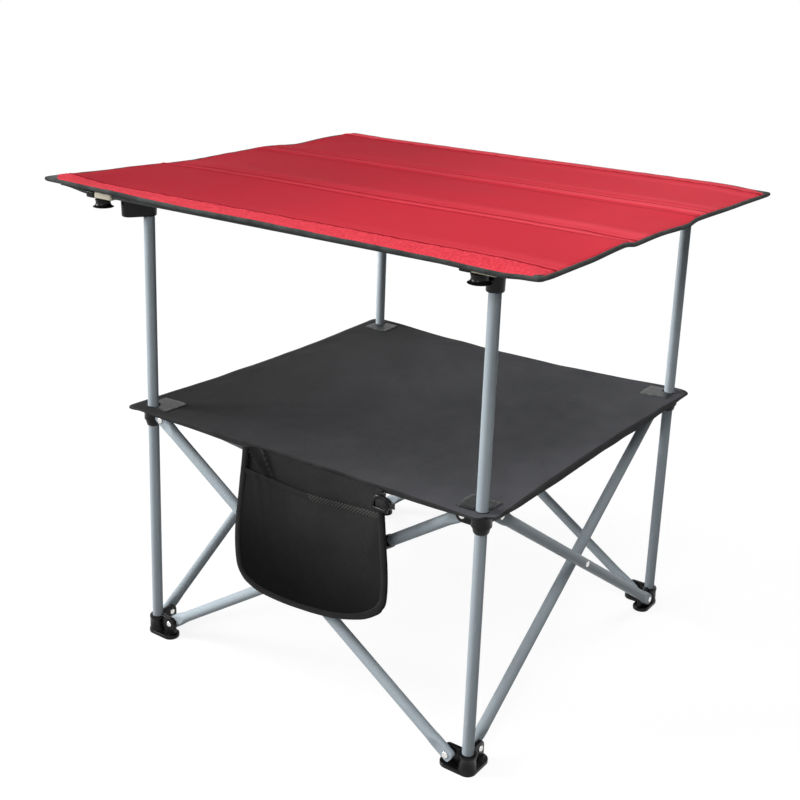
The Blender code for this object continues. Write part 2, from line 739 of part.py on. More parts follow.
def build_hubs(materials, joints):
    hub = hub_mesh()
    for corner, name in enumerate(CORNER_NAMES):
        place = corner_frame(corner) @ Matrix.Translation((0, 0, HUB_PIVOT_HEIGHT))
        placed("hub_" + name, hub, place, materials["black_plastic"], joints[name + "_slider"])


def build_braces(materials, joints):
    for outer, word in ((True, "outer_"), (False, "inner_")):
        mesh = brace_mesh(outer)
        for side, name in enumerate(SIDE_NAMES):
            placed(word + "brace_" + name, mesh, brace_frame(side, outer),
                   materials["painted_steel"], joints[word + name])


def build_rivets(materials, joints):
    # Along a rivet, +Y points to the inside of the table
    ear_face = EAR_THICKNESS / 2
    tube_face = BRACE_OFFSET + BRACE_END_HALF_THICKNESS
    crossing_face = BRACE_OFFSET + CROSSING_FLAT_HEIGHT
    outer_rivet = rivet_mesh(-tube_face, ear_face)
    inner_rivet = rivet_mesh(-ear_face, tube_face)
    crossing_rivet = rivet_mesh(-crossing_face, crossing_face)
    near, far = PIVOT_REACH, POST_SPACING - PIVOT_REACH
    low, high = FOOT_PIVOT_HEIGHT, HUB_PIVOT_HEIGHT
    for index, side in enumerate(SIDE_NAMES):
        this, following = CORNER_NAMES[index], CORNER_NAMES[(index + 1) % 4]
        rivets = (
            ("rivet_hub_" + this + "_outer", outer_rivet, near, high, this + "_slider"),
            ("rivet_foot_" + this + "_inner", inner_rivet, near, low, this + "_leg"),
            ("rivet_hub_" + following + "_inner", inner_rivet, far, high,
             following + "_slider"),
            ("rivet_foot_" + following + "_outer", outer_rivet, far, low,
             following + "_leg"),
            ("rivet_crossing_" + side, crossing_rivet, POST_SPACING / 2, (low + high) / 2,
             "outer_" + side))
        for name, mesh, distance, height, body in rivets:
            place = corner_frame(index) @ Matrix.Translation((distance, 0, height))
            placed(name, mesh, place, materials["rivet_steel"], joints[body])


def build_shelf(materials, joints):
    shift = Matrix.Translation((FRAME_SHIFT_X, 0, 0))
    carrier = joints["left_slider"]
    placed("shelf_cloth", shelf_mesh(), shift, materials["shelf_cloth"], carrier)
    placed("pocket", pocket_mesh(), Matrix(), materials["pocket_cloth"], carrier)
    patch = patch_mesh()
    for corner, name in enumerate(CORNER_NAMES):
        placed("shelf_patch_" + name, patch, corner_frame(corner),
               materials["patch_vinyl"], joints["shelf_corner_" + name])


def build_top(materials, joints):
    edge = TOP_WIDTH / 2
    near_of_fold = FOLD_LINE_DISTANCE - PANEL_GAP / 2
    past_fold = FOLD_LINE_DISTANCE + PANEL_GAP / 2
    cloth = materials["top_cloth"]
    near = panel_mesh(-edge, -past_fold, True, False)
    middle = panel_mesh(-near_of_fold, near_of_fold, False, False)
    far = panel_mesh(past_fold, edge, False, True)
    placed("top_panel_near", near, Matrix(), cloth, joints["top_near"])
    placed("top_panel_middle", middle, Matrix(), cloth, joints["top_middle"])
    placed("top_panel_far", far, Matrix(), cloth, joints["top_far"])
    rod = hem_rod_mesh()
    half_turn = Matrix.Rotation(math.pi, 4, "Z")
    placed("hem_rod_near", rod, Matrix(), materials["hem_rod"], joints["top_near"])
    placed("hem_rod_far", rod, half_turn, materials["hem_rod"], joints["top_far"])
    knob = knob_mesh()
    for name in CORNER_NAMES:
        joint = joints["knob_" + name]
        placed("knob_" + name, knob, Matrix.Translation(joint.location),
               materials["black_plastic"], joint)


def main():
    clear_scene()
    materials = make_materials()
    joints = {name: joint_empty(name, place) for name, place in joint_places().items()}
    build_posts(materials, joints)
    build_hubs(materials, joints)
    build_braces(materials, joints)
    build_rivets(materials, joints)
    build_shelf(materials, joints)
    build_top(materials, joints)


main()
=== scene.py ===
# Dresses the fabric folding table: a scissor frame on four posts, a cloth shelf with a
# pocket under its near edge, and a red cloth top in three panels. Metres, Z up.
import math

import bmesh
import bpy
from mathutils import Matrix, Vector, noise


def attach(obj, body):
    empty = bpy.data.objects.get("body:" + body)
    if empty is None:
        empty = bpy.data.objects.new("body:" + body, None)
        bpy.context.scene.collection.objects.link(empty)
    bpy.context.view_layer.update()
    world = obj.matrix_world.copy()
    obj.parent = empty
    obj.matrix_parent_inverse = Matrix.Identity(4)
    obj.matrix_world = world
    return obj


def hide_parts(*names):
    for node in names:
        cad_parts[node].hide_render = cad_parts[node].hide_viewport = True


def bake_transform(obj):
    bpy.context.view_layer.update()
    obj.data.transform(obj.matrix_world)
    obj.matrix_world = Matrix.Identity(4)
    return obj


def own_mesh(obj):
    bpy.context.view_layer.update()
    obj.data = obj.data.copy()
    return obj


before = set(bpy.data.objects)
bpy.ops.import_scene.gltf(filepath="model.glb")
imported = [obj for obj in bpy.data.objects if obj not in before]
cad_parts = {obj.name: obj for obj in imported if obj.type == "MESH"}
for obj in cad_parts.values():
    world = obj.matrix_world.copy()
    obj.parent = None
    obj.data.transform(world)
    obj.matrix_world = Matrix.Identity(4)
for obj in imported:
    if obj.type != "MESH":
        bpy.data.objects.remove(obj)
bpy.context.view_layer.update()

# Sizes that the frame gives
table = {
    "postSpacing": 0.570,
    "shiftX": 0.015,
    "tubeRadius": 0.008,
    "tubeWall": 0.0012,
    "boreRadius": 0.0084,
    "pivotReach": 0.027,
    "footPivot": 0.021,
    "hubPivot": 0.361,
    "braceOffset": 0.0083,
    "topUnderside": 0.697,
    "foldLine": 0.117,
}
cornerNames = ["left", "front", "right", "back"]
sideNames = ["near_left", "near_right", "far_right", "far_left"]
cornerSigns = {"left": (-1, -1), "front": (1, -1), "right": (1, 1), "back": (-1, 1)}
quarterTurn = math.pi / 2
shelfTop = 0.3738


# Small sums

def smoothStep(low, high, value):
    share = min(1.0, max(0.0, (value - low) / (high - low)))
    return share * share * (3 - 2 * share)


def bell(distance, width):
    return math.exp(-(distance / width) ** 2)


def between(points, value):
    # Height of a smooth line through (position, height) points
    if value <= points[0][0]:
        return points[0][1]
    for (start, low), (end, high) in zip(points, points[1:]):
        if value <= end:
            return low + (high - low) * smoothStep(start, end, value)
    return points[-1][1]


def spread(start, end, count):
    return [start + (end - start) * step / count for step in range(count + 1)]


def ripple(x, y, seed, size):
    # Soft noise from -1 to 1 whose waves are about size long
    return noise.noise(Vector((x / size, y / size, seed)))


# Places, as the frame was built

def cornerFrame(corner):
    # Origin at the post's foot, X along the side to the next corner, Y along the side before
    half = table["postSpacing"] / 2
    return (Matrix.Translation((table["shiftX"], 0, 0))
            @ Matrix.Rotation(quarterTurn * corner, 4, "Z")
            @ Matrix.Translation((-half, -half, 0)))


def braceRun():
    return table["postSpacing"] - 2 * table["pivotReach"]


def braceRise():
    return table["hubPivot"] - table["footPivot"]


def braceFrame(side, outer):
    # Origin on the lower pivot, X along the brace, Y outwards
    across = Vector((-braceRun() if outer else braceRun(), 0, braceRise())).normalized()
    outward = Vector((0, -1, 0))
    axes = Matrix((across, outward, across.cross(outward))).transposed().to_4x4()
    reach, offset = table["pivotReach"], table["braceOffset"]
    start = (table["postSpacing"] - reach if outer else reach,
             -offset if outer else offset, table["footPivot"])
    return cornerFrame(side) @ Matrix.Translation(start) @ axes


# Materials

class Wire:
    # A socket of a material or of the room. Sums on it add Math nodes.
    def __init__(self, graph, socket):
        self.graph = graph
        self.socket = socket

    def sum(self, operation, first, second=None):
        values = {0: first} if second is None else {0: first, 1: second}
        return self.graph.add("ShaderNodeMath", {"operation": operation}, values)

    def __add__(self, other):
        return self.sum("ADD", self, other)

    def __radd__(self, other):
        return self.sum("ADD", other, self)

    def __sub__(self, other):
        return self.sum("SUBTRACT", self, other)

    def __rsub__(self, other):
        return self.sum("SUBTRACT", other, self)

    def __mul__(self, other):
        return self.sum("MULTIPLY", self, other)

    def __rmul__(self, other):
        return self.sum("MULTIPLY", other, self)

    def __pow__(self, other):
        return self.sum("POWER", self, other)

    def __rpow__(self, other):
        return self.sum("POWER", other, self)

    def __mod__(self, other):
        return self.sum("FLOORED_MODULO", self, other)

    def __rmod__(self, other):
        return self.sum("FLOORED_MODULO", other, self)

    def __gt__(self, other):
        return self.sum("GREATER_THAN", self, other)

    def __lt__(self, other):
        return self.sum("LESS_THAN", self, other)

    def __abs__(self):
        return self.sum("ABSOLUTE", self)

    def sine(self):
        return self.sum("SINE", self)

    def most(self, other):
        return self.sum("MAXIMUM", self, other)


class Graph:
    # The nodes of a material or of the room
    def __init__(self, tree):
        self.tree = tree

    def set(self, socket, value):
        if isinstance(value, Wire):
            self.tree.links.new(value.socket, socket)
        else:
            socket.default_value = value

    def add(self, kind, settings=None, values=None, out=0):
        node = self.tree.nodes.new(kind)
        for setting, value in (settings or {}).items():
            setattr(node, setting, value)
        for socket, value in (values or {}).items():
            self.set(node.inputs[socket], value)
        return Wire(self, node.outputs[out]) if node.outputs else node

    def place(self, kind="Object"):
        return self.add("ShaderNodeTexCoord", out=kind)

    def parts(self, vector):
        node = self.add("ShaderNodeSeparateXYZ", values={0: vector}).socket.node
        return [Wire(self, output) for output in node.outputs]

    def stretched(self, vector, scale):
        return self.add("ShaderNodeMapping", values={"Vector": vector, "Scale": scale})

    def cloud(self, vector, scale, detail=2.0, roughness=0.5):
        values = {"Vector": vector, "Scale": scale, "Detail": detail, "Roughness": roughness}
        return self.add("ShaderNodeTexNoise", values=values)

    def step(self, value, low, high):
        values = {"Value": value, "From Min": low, "From Max": high}
        return self.add("ShaderNodeMapRange", {"interpolation_type": "SMOOTHSTEP"}, values)

    def mix(self, share, first, second):
        first, second = [
            tone if isinstance(tone, Wire) else (*tone, 1.0) for tone in (first, second)]
        return self.add("ShaderNodeMix", {"data_type": "RGBA"}, {0: share, 6: first, 7: second}, 2)

    def bump(self, height, strength, distance, under=None):
        values = {"Height": height, "Strength": strength, "Distance": distance}
        if under is not None:
            values["Normal"] = under
        return self.add("ShaderNodeBump", values=values)

    def seen(self):
        # 1 for the rays that show the room itself, straight or mirrored
        rays = [self.add("ShaderNodeLightPath", out=kind)
                for kind in ("Is Camera Ray", "Is Glossy Ray", "Is Transmission Ray")]
        return rays[0].most(rays[1]).most(rays[2])


class Finish(Graph):
    # A material that is built up from its Principled shader
    def __init__(self, name, base, **sockets):
        self.material = bpy.data.materials.new(name)
        self.material.use_nodes = True
        super().__init__(self.material.node_tree)
        self.shader = self.tree.nodes["Principled BSDF"]
        self.give("Base Color", (*base, 1.0))
        for socket, value in sockets.items():
            self.give(socket, value)

    def give(self, socket, value):
        self.set(self.shader.inputs[socket], value)


def weaveOf(finish, vector, pitch):
    # Over and under of a plain weave, from -1 to 1
    across, along = finish.parts(vector)[:2]
    turns = math.pi / pitch
    return (across * turns).sine() * (along * turns).sine()


def tubePaint():
    look = {"base": (0.400, 0.460, 0.500), "light": (0.450, 0.510, 0.550), "scratch": (0.60, 0.63, 0.65)}
    finish = Finish("tube_paint", look["base"], Roughness=0.34)
    where = finish.place()
    flake = finish.cloud(where, 1400, 1.0)
    patches = finish.cloud(where, 26, 3.0)
    rubbed = finish.step(finish.cloud(finish.stretched(where, (220, 220, 30)), 1.0, 2.0), 0.66, 0.76)
    shade = finish.mix(finish.step(flake * 0.6 + patches * 0.4, 0.3, 0.75), look["base"], look["light"])
    finish.give("Base Color", finish.mix(rubbed * 0.35, shade, look["scratch"]))
    finish.give("Roughness", finish.step(patches, 0.2, 0.8) * 0.12 + 0.26 + rubbed * 0.1)
    finish.give("Normal", finish.bump(flake, 0.06, 0.0003))
    finish.give("Specular IOR Level", 0.05)
    return finish


def mouldedPlastic():
    look = {"base": (0.0062, 0.0058, 0.0065), "dust": (0.019, 0.0175, 0.0185)}
    finish = Finish("moulded_plastic", look["base"], Roughness=0.3)
    where = finish.place()
    grain = finish.cloud(where, 1900, 2.0, 0.6)
    rubbed = finish.step(finish.cloud(where, 60, 4.0, 0.65), 0.45, 0.72)
    finish.give("Base Color", finish.mix(rubbed * 0.55, look["base"], look["dust"]))
    finish.give("Roughness", rubbed * 0.14 + 0.24)
    finish.give("Normal", finish.bump(grain, 0.12, 0.0002))
    finish.give("Specular IOR Level", 0.18)
    return finish


def rivetSteel():
    look = {"base": (0.74, 0.74, 0.72), "stain": (0.42, 0.41, 0.39)}
    finish = Finish("rivet_steel", look["base"], Metallic=1.0, Roughness=0.25)
    where = finish.place()
    spots = finish.cloud(where, 420, 3.0)
    finish.give("Base Color", finish.mix(finish.step(spots, 0.5, 0.75) * 0.6, look["base"], look["stain"]))
    finish.give("Roughness", spots * 0.2 + 0.14)
    finish.give("Normal", finish.bump(finish.cloud(where, 2600, 1.0), 0.05, 0.0002))
    return finish


def creamPlastic():
    look = {"base": (0.72, 0.66, 0.52), "shade": (0.5, 0.44, 0.32)}
    finish = Finish("cream_plastic", look["base"], Roughness=0.38)
    spots = finish.cloud(finish.place(), 300, 3.0)
    finish.give("Base Color", finish.mix(finish.step(spots, 0.45, 0.8) * 0.5, look["base"], look["shade"]))
    finish.give("Roughness", spots * 0.2 + 0.28)
    finish.give("Normal", finish.bump(spots, 0.05, 0.0003))
    return finish


# A ramp's four numbers are X share, Y share and span of a painted light ramp: the shelf is painted darker
# to the left and lighter to the right, the pocket darker at its lower left
darkCloths = {
    "shelf_cloth": {
        "base": (0.014, 0.014, 0.0145), "light": (0.150, 0.151, 0.168), "pitch": 0.0009,
        "sheen": 0.06, "rough": 0.78, "paintedLightRamp": (1.0, 0.10, -0.44, 0.44)},
    "pocket_cloth": {
        "base": (0.0014, 0.0014, 0.0016), "light": (0.054, 0.054, 0.056), "pitch": 0.0008,
        "sheen": 0.015, "rough": 0.60, "paintedLightRamp": (0.55, 1.0, 0.16, 0.44)},
    "pocket_net": {
        "base": (0.010, 0.010, 0.010), "light": (0.105, 0.103, 0.100), "pitch": 0.0024,
        "sheen": 0.02, "rough": 0.78, "paintedLightRamp": None},
}


def darkCloth(name):
    # Close-woven polyester, read from the piece's own flat cut, with random lighter patches. Where a light
    # ramp is given, the cloth is painted darker towards one side and lighter towards the other, as the
    # light falls on it.
    look = darkCloths[name]
    rough = look["rough"]
    finish = Finish(name, look["base"], Roughness=rough)
    where = finish.place("UV")
    weave = weaveOf(finish, where, look["pitch"])
    slubs = finish.cloud(finish.stretched(where, (1, 5, 1)), 260, 2.0)
    fade = finish.cloud(where, 9, 4.0, 0.6)
    share = finish.step(weave * 0.28 + slubs * 0.5 + fade * 0.6, 0.3, 0.95)
    # painted shade towards one side of the piece and painted light towards the other
    if look["paintedLightRamp"]:
        across, along = finish.parts(where)[:2]
        shareX, shareY, low, high = look["paintedLightRamp"]
        share = (share * 0.6 + 0.4) * finish.step(across * shareX + along * shareY, low, high)
    finish.give("Base Color", finish.mix(share, look["base"], look["light"]))
    finish.give("Roughness", rough - weave * 0.05 + (fade - 0.5) * 0.1)
    creases = finish.cloud(where, 34, 3.0, 0.55)
    first = finish.bump(creases, 0.25, 0.004)
    finish.give("Normal", finish.bump(weave + slubs * 0.6, 0.3, 0.00022, first))
    finish.give("Sheen Weight", look["sheen"])
    finish.give("Sheen Roughness", 0.5)
    finish.give("Specular IOR Level", 0.02)
    return finish


tapes = {
    "shelf_hem": {"base": (0.010, 0.010, 0.011), "light": (0.030, 0.030, 0.031), "pitch": 0.0011},
    "pocket_piping": {"base": (0.0035, 0.0035, 0.0035), "light": (0.011, 0.011, 0.011), "pitch": 0.0011},
    "top_binding": {"base": (0.016, 0.018, 0.017), "light": (0.072, 0.084, 0.078), "pitch": 0.0011},
    "top_lining": {"base": (0.020, 0.020, 0.022), "light": (0.045, 0.045, 0.048), "pitch": 0.0009},
    "edge_rod": {"base": (0.050, 0.052, 0.052), "light": (0.10, 0.105, 0.105), "pitch": 0.002},
}


def tapeCloth(name):
    # Ribbed tape, read from where the piece stands
    look = tapes[name]
    finish = Finish(name, look["base"], Roughness=0.85)
    where = finish.place()
    fibres = finish.cloud(where, 1100, 3.0, 0.7)
    ribs = finish.cloud(finish.stretched(where, [1 / look["pitch"]] * 3), 1.0, 1.0)
    wear = finish.cloud(where, 45, 3.0)
    share = finish.step(fibres * 0.6 + wear * 0.5, 0.4, 0.75)
    finish.give("Base Color", finish.mix(share, look["base"], look["light"]))
    finish.give("Roughness", fibres * 0.15 + 0.76)
    finish.give("Normal", finish.bump(ribs + fibres * 0.6, 0.4, 0.0005))
    finish.give("Sheen Weight", 0.08)
    finish.give("Sheen Roughness", 0.6)
    finish.give("Specular IOR Level", 0.10)
    return finish


# Shapes

def lathe(profile, steps, closed=False):
    # Spins (radius, height) points about Z. An open profile starts and ends on the axis.
    shape = bmesh.new()
    points = [shape.verts.new((radius, 0, height)) for radius, height in profile]
    pairs = list(zip(points, points[1:])) + ([(points[-1], points[0])] if closed else [])
    edges = [shape.edges.new(pair) for pair in pairs]
    bmesh.ops.spin(shape, geom=points + edges, axis=(0, 0, 1), cent=(0, 0, 0),
                   angle=math.tau, steps=steps, use_merge=True)
    bmesh.ops.remove_doubles(shape, verts=shape.verts, dist=1e-6)
    bmesh.ops.recalc_face_normals(shape, faces=shape.faces)
    return shape


def plate(outline, low, high):
    # An anticlockwise outline, raised from low to high
    shape = bmesh.new()
    face = shape.faces.new([shape.verts.new((x, y, low)) for x, y in outline])
    raised = bmesh.ops.extrude_face_region(shape, geom=[face])["geom"]
    tops = [item for item in raised if isinstance(item, bmesh.types.BMVert)]
    bmesh.ops.translate(shape, verts=tops, vec=(0, 0, high - low))
    bmesh.ops.recalc_face_normals(shape, faces=shape.faces)
    return shape


def arc(centre, radius, start, end, steps):
    return [(centre[0] + radius * math.cos(turn), centre[1] + radius * math.sin(turn))
            for turn in spread(start, end, steps)]


def block(low, high):
    shape = bmesh.new()
    bmesh.ops.create_cube(shape, size=1.0)
    low, high = Vector(low), Vector(high)
    bmesh.ops.scale(shape, verts=shape.verts, vec=high - low)
    bmesh.ops.translate(shape, verts=shape.verts, vec=(low + high) / 2)
    return shape


def softEdges(shape, width, segments=3, sharper=50):
    edges = [edge for edge in shape.edges
             if len(edge.link_faces) == 2 and edge.calc_face_angle() > math.radians(sharper)]
    bmesh.ops.bevel(shape, geom=edges, offset=width, segments=segments, profile=0.5,
                    affect="EDGES", clamp_overlap=True, material=-1)
    return shape


def turned(shape, matrix):
    bmesh.ops.transform(shape, matrix=matrix, verts=shape.verts)
    return shape


def together(shapes):
    whole = shapes[0]
    for shape in shapes[1:]:
        carried = bpy.data.meshes.new("carried")
        shape.to_mesh(carried)
        shape.free()
        whole.from_mesh(carried)
        bpy.data.meshes.remove(carried)
    return whole


def alongX(shape):
    return turned(shape, Matrix.Rotation(quarterTurn, 4, "Y"))


def alongY(shape):
    return turned(shape, Matrix.Rotation(-quarterTurn, 4, "X"))


def ringedTube(radius, low, high, cuts, sides):
    # A tube along Z with a ring of points at every cut
    shape = bmesh.new()
    bmesh.ops.create_cone(shape, cap_ends=True, segments=sides, radius1=radius,
                          radius2=radius, depth=high - low)
    bmesh.ops.translate(shape, verts=shape.verts, vec=(0, 0, (low + high) / 2))
    for cut in cuts:
        geometry = shape.verts[:] + shape.edges[:] + shape.faces[:]
        bmesh.ops.bisect_plane(shape, geom=geometry, dist=1e-7,
                               plane_co=(0, 0, cut), plane_no=(0, 0, 1))
    return shape


def clothGrid(xStops, yStops):
    # A flat grid through the stops. Its UV map is the flat cut, in metres.
    shape = bmesh.new()
    across, along = len(xStops) - 1, len(yStops) - 1
    bmesh.ops.create_grid(shape, x_segments=across, y_segments=along, size=1.0)
    for vert in shape.verts:
        column = round((vert.co.x + 1) / 2 * across)
        row = round((vert.co.y + 1) / 2 * along)
        vert.co = (xStops[column], yStops[row], 0)
    cut = shape.loops.layers.uv.new("cut")
    for face in shape.faces:
        for loop in face.loops:
            loop[cut].uv = loop.vert.co.xy
    return shape


def keepFaces(shape, wanted):
    gone = [face for face in shape.faces if not wanted(face.calc_center_median())]
    bmesh.ops.delete(shape, geom=gone, context="FACES")
    return shape


def flatArea(shape):
    return sum(face.calc_area() for face in shape.faces)


def pieceFrom(shape, name, finishes, body=None, nodes=(), sharper=35):
    mesh = bpy.data.meshes.new(name)
    shape.edges.index_update()
    openEdges = [edge.index for edge in shape.edges if edge.is_boundary]
    shape.to_mesh(mesh)
    shape.free()
    for finish in finishes:
        mesh.materials.append(finish.material)
    mesh.shade_smooth()
    mesh.set_sharp_from_angle(angle=math.radians(sharper))
    for edge in openEdges:
        mesh.edges[edge].use_edge_sharp = True
    piece = bpy.data.objects.new(name, mesh)
    bpy.context.scene.collection.objects.link(piece)
    if body:
        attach(piece, body)
    if nodes:
        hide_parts(*nodes)
    return piece


def walled(piece, thickness):
    # Gives a sheet its thickness, inwards from its face
    wall = piece.modifiers.new("wall", "SOLIDIFY")
    wall.thickness = thickness
    wall.offset = -1.0
    return piece


def strand(points, radius, ring=6):
    # A round strand through the points, as a shape
    path = bpy.data.curves.new("path", "CURVE")
    path.dimensions = "3D"
    path.bevel_depth = radius
    path.bevel_resolution = ring // 2
    path.use_fill_caps = True
    line = path.splines.new("POLY")
    line.points.add(len(points) - 1)
    for knot, place in zip(line.points, points):
        knot.co = (*place, 1.0)
    holder = bpy.data.objects.new("path", path)
    bpy.context.scene.collection.objects.link(holder)
    bpy.context.view_layer.update()
    mesh = bpy.data.meshes.new_from_object(
        holder.evaluated_get(bpy.context.evaluated_depsgraph_get()))
    shape = bmesh.new()
    shape.from_mesh(mesh)
    bpy.data.meshes.remove(mesh)
    bpy.data.objects.remove(holder, do_unlink=True)
    bpy.data.curves.remove(path)
    bmesh.ops.remove_doubles(shape, verts=shape.verts, dist=1e-6)
    return shape


def smoothLine(points, count):
    # Evenly spaced points on a smooth line through the given ones
    points = [Vector(point) for point in points]
    ends = [2 * points[0] - points[1]] + points + [2 * points[-1] - points[-2]]
    dense = []
    for a, b, c, d in zip(ends, ends[1:], ends[2:], ends[3:]):
        for share in spread(0, 1, 24)[:-1]:
            dense.append(0.5 * ((2 * b) + (c - a) * share + (2 * a - 5 * b + 4 * c - d) * share ** 2
                                + (3 * b - a - 3 * c + d) * share ** 3))
    dense.append(points[-1])
    lengths = [0.0]
    for here, there in zip(dense, dense[1:]):
        lengths.append(lengths[-1] + (there - here).length)
    line, index = [], 0
    for reach in spread(0, lengths[-1], count):
        while index < len(lengths) - 2 and lengths[index + 1] < reach:
            index += 1
        span = max(1e-9, lengths[index + 1] - lengths[index])
        line.append(dense[index].lerp(dense[index + 1], min(1.0, (reach - lengths[index]) / span)))
    return line


# Frame

postSizes = {"low": 0.0063, "high": 0.680, "sides": 40, "endRounding": 0.0003}


def makePosts(paint):
    radius, wall = table["tubeRadius"], table["tubeWall"]
    low, high = postSizes["low"], postSizes["high"]
    for corner, name in enumerate(cornerNames):
        tube = lathe([(radius - wall, low), (radius, low), (radius, high), (radius - wall, high)],
                     postSizes["sides"], closed=True)
        softEdges(tube, postSizes["endRounding"], 2, 60)
        pieceFrom(turned(tube, cornerFrame(corner)), "dressed_post_" + name, [paint],
                  name + "_leg", ["post_" + name])


braceSizes = {
    "sides": 32, "pastPivot": 0.009, "flatLength": 0.011, "taper": 0.024,
    "endThickness": 0.0049, "endWidth": 0.0096, "tipRounding": 0.006, "tipWidth": 0.62,
    "slotInset": 0.0012, "slotDepth": 0.004, "dentHeight": 0.0068, "dentLength": 0.009,
    "dentTaper": 0.007, "press": 0.55, "bandAt": 0.4760, "bandLength": 0.015, "bandHigh": 0.0013,
    "bandEdge": 0.0004, "bandSunk": 0.0002,
}


def shapeBrace(outer):
    # Along X from the lower pivot, pressed flat at both ends, dented under the crossing rivet
    size = braceSizes
    length = math.hypot(braceRun(), braceRise())
    low, high = -size["pastPivot"], length + size["pastPivot"]
    endCuts = spread(low, low + size["tipRounding"], 5)[1:] + [0.0, size["flatLength"]]
    endCuts += spread(size["flatLength"], size["flatLength"] + size["taper"], 9)[1:]
    reach = size["dentLength"] + size["dentTaper"]
    dentCuts = spread(length / 2 - reach, length / 2 + reach, 14)
    cuts = endCuts + dentCuts + [length - cut for cut in endCuts] + spread(0.05, length - 0.05, 10)
    shape = ringedTube(table["tubeRadius"], low, high, sorted(set(cuts)), size["sides"])
    caps = [face for face in shape.faces if abs(face.normal.z) > 0.9]
    dentSide = 1 if outer else -1
    for vert in shape.verts:
        along = min(vert.co.z, length - vert.co.z)
        pressed = 1 - smoothStep(size["flatLength"], size["flatLength"] + size["taper"], along)
        turn = math.atan2(vert.co.y, vert.co.x)
        flat = max(-1.0, min(1.0, (1 + size["press"] * pressed) * math.cos(turn)))
        thick = table["tubeRadius"] * (1 - pressed) + size["endThickness"] * pressed
        wide = table["tubeRadius"] * (1 - pressed) + size["endWidth"] * pressed
        tip = min(1.0, max(0.0, (low + size["tipRounding"] - along) / size["tipRounding"]))
        wide *= 1 - (1 - size["tipWidth"]) * (1 - math.sqrt(max(0.0, 1 - tip * tip)))
        across = thick * flat
        middle = abs(vert.co.z - length / 2)
        dent = 1 - smoothStep(size["dentLength"], reach, middle)
        over = max(0.0, across * dentSide - size["dentHeight"])
        across -= dentSide * over * dent
        vert.co = (vert.co.z, across, wide * math.sin(turn))
    bmesh.ops.inset_region(shape, faces=caps, thickness=size["slotInset"])
    for face in caps:
        inward = 1 if face.calc_center_median().x < length / 2 else -1
        bmesh.ops.translate(shape, verts=face.verts[:], vec=(inward * size["slotDepth"], 0, 0))
    bmesh.ops.recalc_face_normals(shape, faces=shape.faces)
    return shape


def makeBraces(paint, plastic):
    for outer, word in ((True, "outer_"), (False, "inner_")):
        for side, name in enumerate(sideNames):
            shape = turned(shapeBrace(outer), braceFrame(side, outer))
            pieceFrom(shape, "dressed_" + word + "brace_" + name, [paint], word + name,
                      [word + "brace_" + name], 55)
    size = braceSizes
    half, inside = size["bandLength"] / 2, table["tubeRadius"] - size["bandSunk"]
    crown = table["tubeRadius"] + size["bandHigh"]
    band = lathe([(inside, -half), (crown - size["bandEdge"], -half), (crown, -half / 2),
                  (crown, half / 2), (crown - size["bandEdge"], half), (inside, half)],
                 36, closed=True)
    alongX(band)
    turned(band, Matrix.Translation((size["bandAt"], 0, 0)))
    pieceFrom(turned(band, braceFrame(0, False)), "brace_band", [plastic], "inner_near_left")


rivetSizes = {
    "head": 0.0046, "height": 0.0020, "rim": 0.0004, "shank": 0.0025, "steps": 28,
    "dimple": 0.0012, "dimpleDepth": 0.0003, "clear": 0.0003,
    "earFace": 0.003, "flatFace": 0.005, "dentFace": 0.0068,
}


def shapeRivet(low, high):
    # Along Y, a domed head past each face
    size = rivetSizes

    def head(face, way):
        dome = [(size["dimple"], face + way * (size["height"] - size["dimpleDepth"] * 0.3))]
        for turn in spread(0.42, quarterTurn, 7):
            dome.append((size["head"] * math.sin(turn),
                         face + way * (size["rim"] + (size["height"] - size["rim"]) * math.cos(turn))))
        return [(0, face + way * (size["height"] - size["dimpleDepth"]))] + dome + [(size["head"], face)]

    low, high = low - size["clear"], high + size["clear"]
    profile = head(low, -1) + [(size["shank"], low), (size["shank"], high)] + head(high, 1)[::-1]
    return alongY(lathe(profile, size["steps"]))


def makeRivets(steel):
    earFace = rivetSizes["earFace"]
    tubeFace = table["braceOffset"] + rivetSizes["flatFace"]
    crossFace = table["braceOffset"] + rivetSizes["dentFace"]
    near, far = table["pivotReach"], table["postSpacing"] - table["pivotReach"]
    low, high = table["footPivot"], table["hubPivot"]
    for side, sideName in enumerate(sideNames):
        start, end = cornerNames[side], cornerNames[(side + 1) % 4]
        places = [
            ("rivet_foot_%s_outer" % end, -tubeFace, earFace, far, low, end + "_leg"),
            ("rivet_foot_%s_inner" % start, -earFace, tubeFace, near, low, start + "_leg"),
            ("rivet_hub_%s_outer" % start, -tubeFace, earFace, near, high, start + "_slider"),
            ("rivet_hub_%s_inner" % end, -earFace, tubeFace, far, high, end + "_slider"),
            ("rivet_crossing_" + sideName, -crossFace, crossFace, table["postSpacing"] / 2,
             (low + high) / 2, "outer_" + sideName),
        ]
        for node, first, last, reach, height, body in places:
            shape = shapeRivet(first, last)
            turned(shape, cornerFrame(side) @ Matrix.Translation((reach, 0, height)))
            pieceFrom(shape, "dressed_" + node, [steel], body, [node], 50)


hubSizes = {
    "steps": 56, "rise": 0.011, "flange": 0.0165, "flangeDrop": 0.003, "collar": 0.0135,
    "collarDrop": 0.0075, "skirtTop": 0.0119, "skirtBottom": 0.0102, "skirtDrop": 0.0165,
    "ear": 0.010, "earThickness": 0.006, "edge": 0.0009,
}
footSizes = {
    "steps": 56, "socket": 0.0125, "socketHeight": 0.0285, "base": 0.006, "arm": 0.0132,
    "armReach": 0.0275, "ear": 0.0105, "earThickness": 0.006, "edge": 0.0011,
}
headSizes = {
    "low": 0.660, "high": 0.6967, "radius": 0.012, "reach": 0.028, "taper": 0.0012,
    "bottomEdge": 0.0022, "topEdge": 0.0007, "skew": 15,
}


